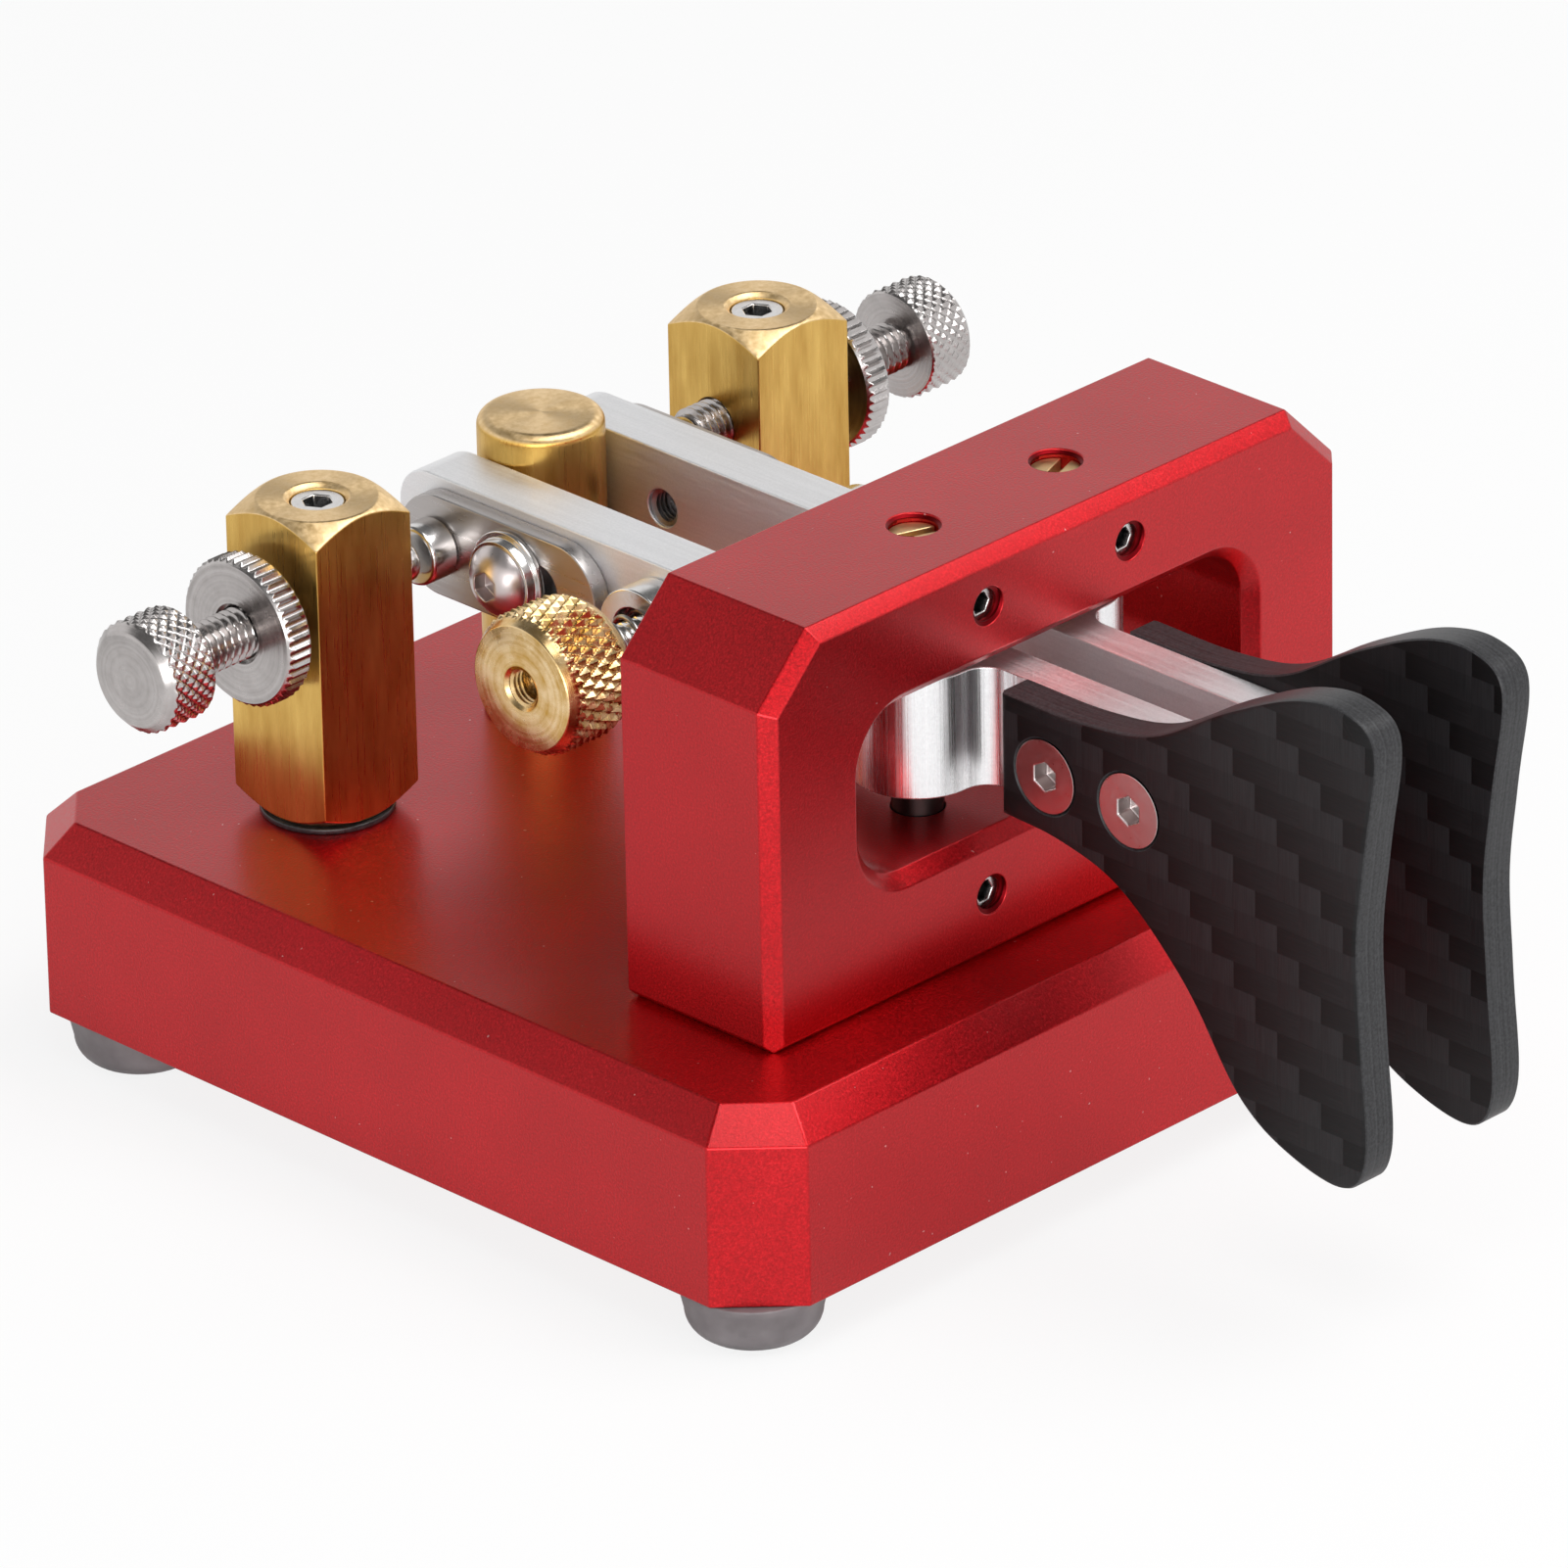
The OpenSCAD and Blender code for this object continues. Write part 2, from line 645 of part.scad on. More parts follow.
module frame_top_and_foot_edges() {
    c = frame_edge_chamfer;
    foot = frame_foot_chamfer;
    rotate([90, 0, 90]) linear_extrude(frame_width, center = true) polygon([
        [0, foot], [foot, 0], [frame_thickness - foot, 0], [frame_thickness, foot],
        [frame_thickness, frame_height], [c, frame_height], [0, frame_height - c]
    ]);
}

module frame_corner_edge() {
    c = frame_edge_chamfer;
    reach = (frame_width / 2 + frame_height - frame_corner_cut) / sqrt(2);
    far = frame_width + frame_height;
    rotate([0, -45, 0]) linear_extrude(2 * far, center = true) polygon([
        [-far, 0], [reach - c, 0], [reach, c], [reach, frame_thickness], [-far, frame_thickness]
    ]);
}

module frame_blank() {
    intersection() {
        translate([0, frame_thickness, 0]) rotate([90, 0, 0])
            linear_extrude(frame_thickness) frame_front_outline();
        frame_side_edges();
        frame_top_and_foot_edges();
        frame_corner_edge();
        mirror([1, 0, 0]) frame_corner_edge();
    }
}

module window_cut() {
    flat_width = window_width - 2 * window_radius;
    flat_height = window_height - 2 * window_radius;
    flare = window_chamfer + past;
    translate([0, 0, window_floor + window_height / 2]) {
        translate([0, -past, 0]) rotate([-90, 0, 0])
            linear_extrude(frame_thickness + 2 * past)
                rounded_rectangle(window_width, window_height, window_radius);
        rotate([90, 0, 90]) linear_extrude(flat_width, center = true) polygon([
            [-past, window_height / 2 + flare], [window_chamfer, window_height / 2],
            [window_chamfer, -window_height / 2], [-past, -window_height / 2 - flare]
        ]);
        linear_extrude(flat_height, center = true) polygon([
            [window_width / 2 + flare, -past], [window_width / 2, window_chamfer],
            [-window_width / 2, window_chamfer], [-window_width / 2 - flare, -past]
        ]);
        for (x = [-1, 1], z = [-1, 1])
            translate([x * flat_width / 2, -past, z * flat_height / 2]) rotate([-90, 0, 0])
                cylinder(h = flare, r1 = window_radius + flare, r2 = window_radius);
    }
}

module pivot_frame() {
    color(anodised_red) translate([0, frame_front_y, base_top]) difference() {
        frame_blank();
        window_cut();
        on_both_sides() translate([pivot_x, frame_thickness / 2, -past])
            cylinder(h = frame_height + 2 * past, r = pivot_screw_radius + screw_clearance);
        on_both_sides() for (z = [frame_height - upper_lock_drop, lower_lock_rise])
            translate([pivot_x, -past, z]) rotate([-90, 0, 0])
                cylinder(h = frame_thickness / 2 + past, r = lock_screw_radius + screw_clearance);
        on_both_sides() translate([frame_screw_x, frame_thickness / 2, -past])
            cylinder(h = m4_reach + seat_gap + past, r = m4_radius + screw_clearance);
    }
}

module frame_screws() {
    color(steel) on_both_sides() translate([frame_screw_x, pivot_y, 0])
        screw_from_below(
            seat_z - m4_head_height, base_top + m4_reach, m4_radius, m4_head_radius, m4_head_height, hex_3
        );
}

// Pivot screws: slotted, with a plain pin that enters the lever
module pivot_screw(length, pin_length) {
    difference() {
        union() {
            cylinder(h = length, r = pivot_screw_radius);
            cylinder(h = length + pin_length, r = pivot_pin_radius);
        }
        translate([-pivot_screw_radius - past, -slot_width / 2, -past])
            cube([2 * (pivot_screw_radius + past), slot_width, slot_depth + past]);
    }
}

module upper_pivot_screws() {
    top = base_top + frame_height - pivot_screw_recess;
    shoulder = base_top + window_ceiling + seat_gap;
    color(brass) on_both_sides() translate([pivot_x, pivot_y, top]) mirror([0, 0, 1])
        rotate([0, 0, slot_turn]) pivot_screw(top - shoulder, shoulder - lever_top + pivot_pin_engagement);
}

module lower_pivot_screws() {
    bottom = base_top + pivot_screw_recess;
    shoulder = lever_bottom - lower_pivot_gap;
    color(dark_steel) on_both_sides() translate([pivot_x, pivot_y, bottom])
        pivot_screw(shoulder - bottom, lever_bottom - shoulder + pivot_pin_engagement);
}

module pivot_lock_screws() {
    length = frame_thickness / 2 - lock_screw_recess - pivot_screw_radius - seat_gap;
    color(steel) on_both_sides() for (z = [frame_height - upper_lock_drop, lower_lock_rise])
        translate([pivot_x, frame_front_y + lock_screw_recess, base_top + z]) rotate([-90, 0, 0])
            difference() {
                cylinder(h = length, r = lock_screw_radius);
                hex_socket_z(hex_1_5);
            }
}

// Levers, set out from the pivot on the lever's axis; the right one is modelled, the left mirrored
module lever_plan() {
    step = rear_arm_inner - front_arm_inner;
    fillet_x = front_arm_outer + boss_fillet_radius;
    fillet_y = -sqrt((lever_boss_radius + boss_fillet_radius) ^ 2 - (fillet_x - pivot_x) ^ 2);
    translate([pivot_x, 0]) circle(lever_boss_radius);
    translate([rear_arm_inner, 0]) square([rear_arm_thickness, lever_rear_end]);
    translate([front_arm_inner, -lever_front_reach]) square([front_arm_thickness, lever_front_reach]);
    polygon([[front_arm_inner, 0], [front_arm_outer, 0], [rear_arm_inner, step]]);
    difference() {
        translate([front_arm_outer, fillet_y]) square([boss_fillet_radius, -fillet_y]);
        translate([fillet_x, fillet_y]) circle(boss_fillet_radius);
    }
}

module lever_side() {
    r = lever_end_radius;
    half = lever_height / 2;
    translate([-lever_front_reach, -half]) square([lever_front_reach + lever_rear_end - r, lever_height]);
    translate([0, r - half]) square([lever_rear_end, lever_height - 2 * r]);
    for (z = [-1, 1]) translate([lever_rear_end - r, z * (half - r)]) circle(r);
}

module lever() {
    pin_hole_depth = pivot_pin_engagement + 2 * seat_gap;
    color(aluminium) translate([0, pivot_y, lever_z]) difference() {
        intersection() {
            linear_extrude(lever_height, center = true) lever_plan();
            rotate([90, 0, 90]) linear_extrude(pivot_x + lever_boss_radius + past) lever_side();
        }
        for (z = [-1, 1]) translate([pivot_x, 0, z * lever_height / 2])
            cylinder(h = 2 * pin_hole_depth, r = pivot_pin_radius + running_clearance, center = true);
        translate([0, tension_reach, 0]) {
            along_x(0, rear_arm_outer + past, rod_radius + rod_clearance);
            along_x(
                rear_arm_outer - cup_spigot_length - seat_gap, rear_arm_outer + past,
                cup_spigot_radius + screw_clearance
            );
        }
        translate([0, plate_screw_y - pivot_y, 0])
            along_x(0, rear_arm_outer + past, plate_screw_radius + screw_clearance);
        for (i = [0, 1])
            translate([0, -paddle_screw_reach - i * paddle_screw_pitch, -paddle_screw_drop])
                along_x(0, front_arm_outer + past, paddle_screw_radius + screw_clearance);
    }
}

// Paddles: flat plates of the smooth outline
module paddle_plate() {
    rotate([90, 0, 90]) linear_extrude(paddle_thickness) polygon(paddle_outline);
}

module each_paddle_screw() {
    for (i = [0, 1])
        translate([
            front_arm_outer,
            pivot_y - paddle_screw_reach - i * paddle_screw_pitch,
            lever_z - paddle_screw_drop
        ]) children();
}

// A countersunk form whose cone meets the paddle's face, grown by the clearance and on to the outer end
module countersunk_x(inner_x, outer_x, clearance) {
    shank = paddle_screw_radius + clearance;
    head = paddle_head_radius + clearance;
    cone_start = paddle_thickness - paddle_head_radius + paddle_screw_radius;
    turned_x([
        [0, inner_x], [shank, inner_x], [shank, cone_start],
        [head, paddle_thickness], [head, outer_x], [0, outer_x]
    ]);
}

module paddle() {
    color(carbon) difference() {
        translate([front_arm_outer, paddle_rear_y, lever_z]) paddle_plate();
        each_paddle_screw() countersunk_x(-past, paddle_thickness + past, screw_clearance);
    }
}

module paddle_screws() {
    color(steel) each_paddle_screw() difference() {
        countersunk_x(seat_gap - front_arm_thickness, paddle_thickness, 0);
        hex_socket_x(paddle_thickness, hex_2);
    }
}

// Contacts on the levers
module contact_plate() {
    color(steel) difference() {
        translate([rear_arm_outer, 0, lever_z]) rotate([90, 0, 90])
            linear_extrude(plate_thickness) difference() {
                translate([contact_y + (plate_height - plate_length) / 2, 0])
                    obround(plate_length, plate_height);
                translate([plate_slot_y, 0]) obround(plate_slot_length, plate_slot_width);
            }
        translate([0, contact_y, lever_z])
            along_x(rear_arm_outer - past, plate_outer + past, contact_stem_radius + screw_clearance);
    }
}

module contact_button() {
    color(steel) translate([0, contact_y, lever_z]) {
        along_x(plate_outer, button_outer, button_radius);
        along_x(rear_arm_outer + seat_gap, plate_outer, contact_stem_radius);
    }
}

module plate_washers() {
    bore = plate_screw_radius + screw_clearance;
    flat_outer = plate_outer + flat_washer_thickness;
    color(steel) translate([0, plate_screw_y, lever_z]) {
        difference() {
            along_x(plate_outer, flat_outer, flat_washer_radius);
            along_x(plate_outer - past, flat_outer + past, bore);
        }
        difference() {
            along_x(flat_outer, flat_outer + spring_washer_thickness, spring_washer_radius);
            along_x(flat_outer - past, flat_outer + spring_washer_thickness + past, bore);
        }
    }
}

module plate_screw() {
    head_x = plate_outer + flat_washer_thickness + spring_washer_thickness;
    dome_radius = (plate_head_radius ^ 2 + plate_head_height ^ 2) / (2 * plate_head_height);
    color(steel) translate([0, plate_screw_y, lever_z]) difference() {
        union() {
            along_x(rear_arm_outer - plate_screw_engagement, head_x + seat_gap, plate_screw_radius);
            translate([head_x, 0, 0]) rotate([0, 90, 0]) rotate_extrude() intersection() {
                translate([0, plate_head_height - dome_radius]) circle(dome_radius);
                square([plate_head_radius, plate_head_height]);
            }
        }
        hex_socket_x(head_x + plate_head_height, hex_2);
    }
}

module spring_cup() {
    color(steel) translate([0, tension_y, lever_z]) difference() {
        union() {
            along_x(rear_arm_outer, cup_outer, cup_radius);
            along_x(rear_arm_outer - cup_spigot_length, rear_arm_outer, cup_spigot_radius);
        }
        along_x(rear_arm_outer - cup_spigot_length - past, cup_outer + past, rod_radius + rod_clearance);
        along_x(cup_floor, cup_outer + past, cup_bore_radius);
    }
}

// Contact posts with their insulation and screws
module contact_post() {
    height = contact_post_top - contact_post_bottom;
    thread = m4_radius + screw_clearance;
    corner = contact_post_width / sqrt(2);
    drop = (corner - contact_post_flat) * tan(contact_post_slope);
    color(brass) difference() {
        translate([contact_post_x, contact_y, contact_post_bottom]) intersection() {
            translate([-contact_post_width / 2, -contact_post_width / 2, 0])
                cube([contact_post_width, contact_post_width, height]);
            rotate_extrude() polygon([
                [0, 0], [contact_post_flat, 0], [corner, drop], [corner, height - drop],
                [contact_post_flat, height], [0, height]
            ]);
        }
        translate([0, contact_y, lever_z])
            along_x(0, contact_post_outer + past, contact_screw_radius + running_clearance);
        translate([contact_post_x, contact_y, 0]) {
            translate([0, 0, lever_z]) cylinder(h = contact_post_rise + past, r = thread);
            mouth_depth = post_mouth_radius - thread;
            translate([0, 0, contact_post_top - mouth_depth])
                cylinder(h = mouth_depth + past, r1 = thread, r2 = post_mouth_radius + past);
            translate([0, 0, contact_post_bottom - past])
                cylinder(h = m4_reach + seat_gap + past, r = thread);
        }
    }
}

module post_insulating_washers() {
    color(black_nylon) on_both_sides() translate([contact_post_x, contact_y, base_top]) difference() {
        cylinder(h = post_washer_thickness, r = post_washer_radius);
        translate([0, 0, -past])
            cylinder(h = post_washer_thickness + 2 * past, r = m4_radius + screw_clearance);
    }
}

module post_insulating_bushes() {
    color(black_nylon) on_both_sides() translate([contact_post_x, contact_y, seat_z]) difference() {
        union() {
            cylinder(h = base_top - seat_z, r = bush_radius);
            translate([0, 0, -bush_flange_thickness])
                cylinder(h = bush_flange_thickness, r = bush_flange_radius);
        }
        translate([0, 0, -bush_flange_thickness - past])
            cylinder(h = base_thickness + 2 * past, r = m4_radius + screw_clearance);
    }
}

module post_screws() {
    head_top = seat_z - bush_flange_thickness - lug_thickness;
    color(steel) on_both_sides() translate([contact_post_x, contact_y, 0])
        screw_from_below(
            head_top - m4_head_height, contact_post_bottom + m4_reach,
            m4_radius, m4_head_radius, m4_head_height, hex_3
        );
}

module solder_lug(radius, ring_radius, turn) {
    rotate([0, 0, turn]) difference() {
        union() {
            cylinder(h = lug_thickness, r = ring_radius);
            translate([-lug_tab_width / 2, 0, 0]) cube([lug_tab_width, lug_tab_reach, lug_thickness]);
        }
        translate([0, 0, -past]) cylinder(h = lug_thickness + 2 * past, r = radius + screw_clearance);
    }
}

module solder_lugs() {
    lug_z = seat_z - bush_flange_thickness - lug_thickness;
    color(steel) {
        on_both_sides() translate([contact_post_x, contact_y, lug_z])
            solder_lug(m4_radius, lug_ring_radius, 180);
        translate([0, tension_y, seat_z - lug_thickness]) solder_lug(m3_radius, m3_head_radius, 0);
    }
}

module post_set_screws() {
    bottom = lever_z + contact_screw_radius + 2 * running_clearance;
    top = contact_post_top - set_screw_recess;
    color(steel) on_both_sides() translate([contact_post_x, contact_y, top]) mirror([0, 0, 1]) difference() {
        cylinder(h = top - bottom, r = m4_radius);
        hex_socket_z(hex_2);
    }
}

// Contact screws: a knurled head, a thread through the post and a tip in its inner end
module contact_screw() {
    e = screw_end_chamfer;
    c = contact_head_chamfer;
    stem_hole = contact_stem_radius + running_clearance;
    color(steel) translate([0, contact_y, lever_z]) difference() {
        turned_x([
            [0, contact_screw_inner], [contact_screw_radius - e, contact_screw_inner],
            [contact_screw_radius, contact_screw_inner + e], [contact_screw_radius, contact_head_inner],
            [contact_head_radius - c, contact_head_inner], [contact_head_radius, contact_head_inner + c],
            [contact_head_radius, contact_head_outer - c], [contact_head_radius - c, contact_head_outer],
            [0, contact_head_outer]
        ]);
        along_x(contact_screw_inner - past, contact_screw_inner + tip_stem_length + seat_gap, stem_hole);
    }
}

module contact_tip() {
    color(steel) translate([0, contact_y, lever_z]) {
        along_x(tip_inner, tip_inner + tip_height, tip_radius);
        along_x(tip_inner + tip_height, contact_screw_inner + tip_stem_length, contact_stem_radius);
    }
}

module lock_nut() {
    c = lock_nut_chamfer;
    bore = contact_screw_radius + running_clearance;
    outer = lock_nut_inner + lock_nut_thickness;
    color(steel) translate([0, contact_y, lever_z]) turned_x([
        [bore, lock_nut_inner], [lock_nut_radius - c, lock_nut_inner], [lock_nut_radius, lock_nut_inner + c],
        [lock_nut_radius, outer - c], [lock_nut_radius - c, outer], [bore, outer]
    ]);
}

// Stop post between the levers
module stop_post_profile() {
    height = stop_post_top - base_top;
    square([stop_post_radius, height - stop_post_round]);
    square([stop_post_radius - stop_post_round, height]);
    translate([stop_post_radius - stop_post_round, height - stop_post_round]) circle(stop_post_round);
}

module stop_post() {
    color(brass) translate([0, contact_y, base_top]) difference() {
        rotate_extrude() stop_post_profile();
        translate([0, 0, -past]) cylinder(h = m4_reach + seat_gap + past, r = m4_radius + screw_clearance);
    }
}

module stop_post_screw() {
    color(steel) translate([0, contact_y, 0])
        screw_from_below(
            seat_z - m4_head_height, base_top + m4_reach, m4_radius, m4_head_radius, m4_head_height, hex_3
        );
}

// Lever tension: a rod across both levers, with a spring on each side, a left knob and a right nut
module tension_post() {
    color(steel) difference() {
        translate([0, tension_y, base_top])
            cylinder(h = tension_post_top - base_top, r = tension_post_radius);
        translate([0, tension_y, lever_z])
            along_x(-tension_post_radius - past, tension_post_radius + past, rod_radius + screw_clearance);
        translate([0, tension_y, base_top - past])
            cylinder(h = m3_reach + seat_gap + past, r = m3_radius + screw_clearance);
    }
}

module tension_post_screw() {
    head_top = seat_z - lug_thickness;
    color(steel) translate([0, tension_y, 0])
        screw_from_below(
            head_top - m3_head_height, base_top + m3_reach, m3_radius, m3_head_radius, m3_head_height, hex_2
        );
}

module tension_rod() {
    color(steel) translate([0, tension_y, lever_z]) along_x(-rod_end, rod_end, rod_radius);
}

module tension_spring() {
    color(dark_steel) translate([0, tension_y, lever_z]) tube(spring_path, spring_spokes, spring_wire_radius);
}

module tension_knob() {
    rim = knob_radius - knob_chamfer;
    slope = knob_chamfer_length;
    bore = rod_radius + running_clearance;
    mouth = knob_mouth_chamfer;
    color(brass) translate([0, tension_y, lever_z]) turned_x([
        [bore, knob_inner], [rim, knob_inner], [knob_radius, knob_inner + slope],
        [knob_radius, knob_outer - slope], [rim, knob_outer], [bore + mouth, knob_outer],
        [bore, knob_outer - mouth]
    ]);
}

// The right spring's end is held by a small round nut, which the frame hides in the photo
module tension_nut() {
    c = tension_nut_chamfer;
    r = tension_nut_radius;
    bore = rod_radius + running_clearance;
    outer = knob_inner + tension_nut_length;
    color(brass) translate([0, tension_y, lever_z]) turned_x([
        [bore, knob_inner], [r - c, knob_inner], [r, knob_inner + c],
        [r, outer - c], [r - c, outer], [bore, outer]
    ]);
}

// Jack in the rear face, and the wires to it
module jack_tab_at(i) {
    translate([tab_x(i) - jack_tab_width / 2, jack_front_y - jack_tab_length, jack_tab_z])
        cube([jack_tab_width, jack_tab_length, jack_tab_thickness]);
}

module jack_socket() {
    collar_end = base_rear_y + jack_nut_thickness + seat_gap;
    color(black_plastic) {
        difference() {
            union() {
                translate([jack_x - jack_body_width / 2, jack_front_y, jack_z - jack_body_width / 2])
                    cube([jack_body_width, jack_body_length, jack_body_width]);
                translate([jack_x, base_rear_y - jack_wall, jack_z]) rotate([-90, 0, 0])
                    cylinder(h = collar_end - base_rear_y + jack_wall, r = jack_collar_radius);
                for (i = [-1:1]) jack_tab_at(i);
            }
            translate([jack_x, collar_end - jack_bore_depth, jack_z]) rotate([-90, 0, 0])
                cylinder(h = jack_bore_depth + past, r = jack_bore_radius);
        }
    }
}

module jack_nut() {
    color(steel) translate([jack_x, base_rear_y, jack_z]) rotate([-90, 0, 0]) difference() {
        cylinder(h = jack_nut_thickness, r = jack_nut_radius, $fn = 6);
        translate([0, 0, -past])
            cylinder(h = jack_nut_thickness + 2 * past, r = jack_collar_radius + screw_clearance);
    }
}

// Routes of the wires, set out from the post or lug where each one starts
lug_wire_z = seat_z - bush_flange_thickness - lug_thickness - wire_radius - 2 * seat_gap;
tab_wire_z = jack_tab_z - wire_radius - seat_gap;
wire_lane = 0.8;
wire_end_y = jack_front_y - 1;
function tab_x(i) = jack_x + i * jack_tab_spacing;
function side_wire(side) = [
    [side * contact_post_x, contact_y - lug_ring_radius - 2, lug_wire_z],
    [side * contact_post_x, groove_y + 1.8, lug_wire_z],
    [side * (contact_post_x - 0.9), groove_y + 0.95, lug_wire_z],
    [side * (contact_post_x - 2.5), groove_y + wire_lane, lug_wire_z],
    [tab_x(side) + side * 2, groove_y + wire_lane, lug_wire_z],
    [tab_x(side) + side * 0.7, groove_y + 1.4, lug_wire_z],
    [tab_x(side), groove_y + 2.8, lug_wire_z],
    [tab_x(side), wire_end_y, tab_wire_z]
];
common_wire = [
    [0, tension_y + 5, lug_wire_z],
    [0, groove_y - 2.5, lug_wire_z],
    [0.7, groove_y - 1.2, lug_wire_z],
    [2.2, groove_y - wire_lane, lug_wire_z],
    [tab_x(0) - 2, groove_y - wire_lane, lug_wire_z],
    [tab_x(0) - 0.6, groove_y, lug_wire_z],
    [tab_x(0), groove_y + 1.6, lug_wire_z],
    [tab_x(0), wire_end_y, tab_wire_z]
];

module wire(path) {
    tube(path, [for (p = path) [0, 0, 1]], wire_radius);
}

module signal_wires() {
    color(dark_steel) {
        wire(side_wire(-1));
        wire(side_wire(1));
        wire(common_wire);
    }
}

module left_lever() { mirror([1, 0, 0]) lever(); }
module right_lever() { lever(); }
module left_paddle() { mirror([1, 0, 0]) paddle(); }
module right_paddle() { paddle(); }
module left_paddle_screws() { mirror([1, 0, 0]) paddle_screws(); }
module right_paddle_screws() { paddle_screws(); }
module left_contact_plate() { mirror([1, 0, 0]) contact_plate(); }
module right_contact_plate() { contact_plate(); }
module left_contact_button() { mirror([1, 0, 0]) contact_button(); }
module right_contact_button() { contact_button(); }
module left_plate_screw() { mirror([1, 0, 0]) plate_screw(); }
module right_plate_screw() { plate_screw(); }
module left_plate_washers() { mirror([1, 0, 0]) plate_washers(); }
module right_plate_washers() { plate_washers(); }
module left_spring_cup() { mirror([1, 0, 0]) spring_cup(); }
module right_spring_cup() { spring_cup(); }
module left_contact_post() { mirror([1, 0, 0]) contact_post(); }
module right_contact_post() { contact_post(); }
module left_contact_screw() { mirror([1, 0, 0]) contact_screw(); }
module right_contact_screw() { contact_screw(); }
module left_contact_tip() { mirror([1, 0, 0]) contact_tip(); }
module right_contact_tip() { contact_tip(); }
module left_lock_nut() { mirror([1, 0, 0]) lock_nut(); }
module right_lock_nut() { lock_nut(); }
module left_tension_spring() { mirror([1, 0, 0]) tension_spring(); }
module right_tension_spring() { tension_spring(); }
module left_tension_knob() { mirror([1, 0, 0]) tension_knob(); }
module right_tension_knob() { tension_nut(); }

base_plate();
rubber_feet();
pivot_frame();
frame_screws();
upper_pivot_screws();
lower_pivot_screws();
pivot_lock_screws();
left_lever();
right_lever();
left_paddle();
right_paddle();
left_paddle_screws();
right_paddle_screws();
left_contact_plate();
right_contact_plate();
left_contact_button();
right_contact_button();
left_plate_screw();
right_plate_screw();
left_plate_washers();
right_plate_washers();
left_spring_cup();
right_spring_cup();
left_contact_post();
right_contact_post();
post_insulating_washers();
post_insulating_bushes();
post_screws();
solder_lugs();
post_set_screws();
left_contact_screw();
right_contact_screw();
left_contact_tip();
right_contact_tip();
left_lock_nut();
right_lock_nut();
stop_post();
stop_post_screw();
tension_post();
tension_post_screw();
tension_rod();
left_tension_spring();
right_tension_spring();
left_tension_knob();
right_tension_knob();
jack_socket();
jack_nut();
signal_wires();
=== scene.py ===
import json
from math import ceil, cos, floor, pi, radians, sin, tan

import bmesh
import bpy
from mathutils import Matrix, Vector


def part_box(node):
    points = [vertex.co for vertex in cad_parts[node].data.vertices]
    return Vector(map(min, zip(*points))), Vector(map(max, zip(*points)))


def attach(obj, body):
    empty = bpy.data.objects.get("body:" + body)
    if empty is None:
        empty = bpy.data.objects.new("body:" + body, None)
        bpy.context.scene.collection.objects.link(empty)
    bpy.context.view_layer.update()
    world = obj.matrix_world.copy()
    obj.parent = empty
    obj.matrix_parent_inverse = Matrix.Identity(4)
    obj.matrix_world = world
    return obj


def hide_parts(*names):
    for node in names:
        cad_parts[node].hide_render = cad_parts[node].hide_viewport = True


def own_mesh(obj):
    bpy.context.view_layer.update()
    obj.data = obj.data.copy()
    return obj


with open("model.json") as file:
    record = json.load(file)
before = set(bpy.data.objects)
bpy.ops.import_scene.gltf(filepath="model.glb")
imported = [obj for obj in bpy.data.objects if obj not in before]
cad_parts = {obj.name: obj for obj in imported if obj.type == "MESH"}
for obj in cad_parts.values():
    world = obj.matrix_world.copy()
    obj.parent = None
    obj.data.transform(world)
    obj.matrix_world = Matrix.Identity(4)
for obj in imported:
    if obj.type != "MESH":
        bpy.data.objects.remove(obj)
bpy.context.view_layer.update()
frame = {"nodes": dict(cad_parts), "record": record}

MM = 0.001
SIDES = {"left": -1, "right": 1}
NODES = frame["nodes"]
BODY_OF = {node: body for body, members in frame["record"]["behaviour"]["bodies"].items() for node in members}


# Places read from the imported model
def box_mm(node):
    low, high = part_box(node)
    return low / MM, high / MM


def middle(node):
    low, high = box_mm(node)
    return (low + high) / 2


BASE_LOW, BASE_HIGH = box_mm("base_plate")
FRAME_LOW, FRAME_HIGH = box_mm("pivot_frame")
LEVER_Z = middle("right_contact_screw").z
CONTACT_Y = middle("right_contact_screw").y
TENSION_Y = middle("right_tension_knob").y
PIVOT_SCREW_RADIUS = 1.95
PIVOT_X = box_mm("upper_pivot_screws")[1].x - PIVOT_SCREW_RADIUS
PIVOT_Y = middle("upper_pivot_screws").y


# Mesh helpers
def shade(mesh, sharp_angle):
    mesh.shade_smooth()
    mesh.set_sharp_from_angle(angle=radians(sharp_angle))


def object_from(name, points, faces, sharp_angle=35):
    """A new object from points in millimetres."""
    mesh = bpy.data.meshes.new(name)
    mesh.from_pydata([Vector(p) * MM for p in points], [], faces)
    mesh.update()
    obj = bpy.data.objects.new(name, mesh)
    bpy.context.scene.collection.objects.link(obj)
    shade(mesh, sharp_angle)
    return obj


def settle(obj, material, node, shown_for=True):
    """Gives a piece its material, and makes it ride on the body of a node and stand for it."""
    obj.data.materials.clear()
    obj.data.materials.append(material)
    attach(obj, BODY_OF[node])
    if shown_for:
        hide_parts(node)
    return obj


def soften_normals(obj):
    modifier = obj.modifiers.new("weighted normals", "WEIGHTED_NORMAL")
    modifier.keep_sharp = True


MERGE_DISTANCE = 0.005
FLAT_ANGLE, EDGE_ANGLE, DRESSED_SHARP_ANGLE = 0.4, 28, 45


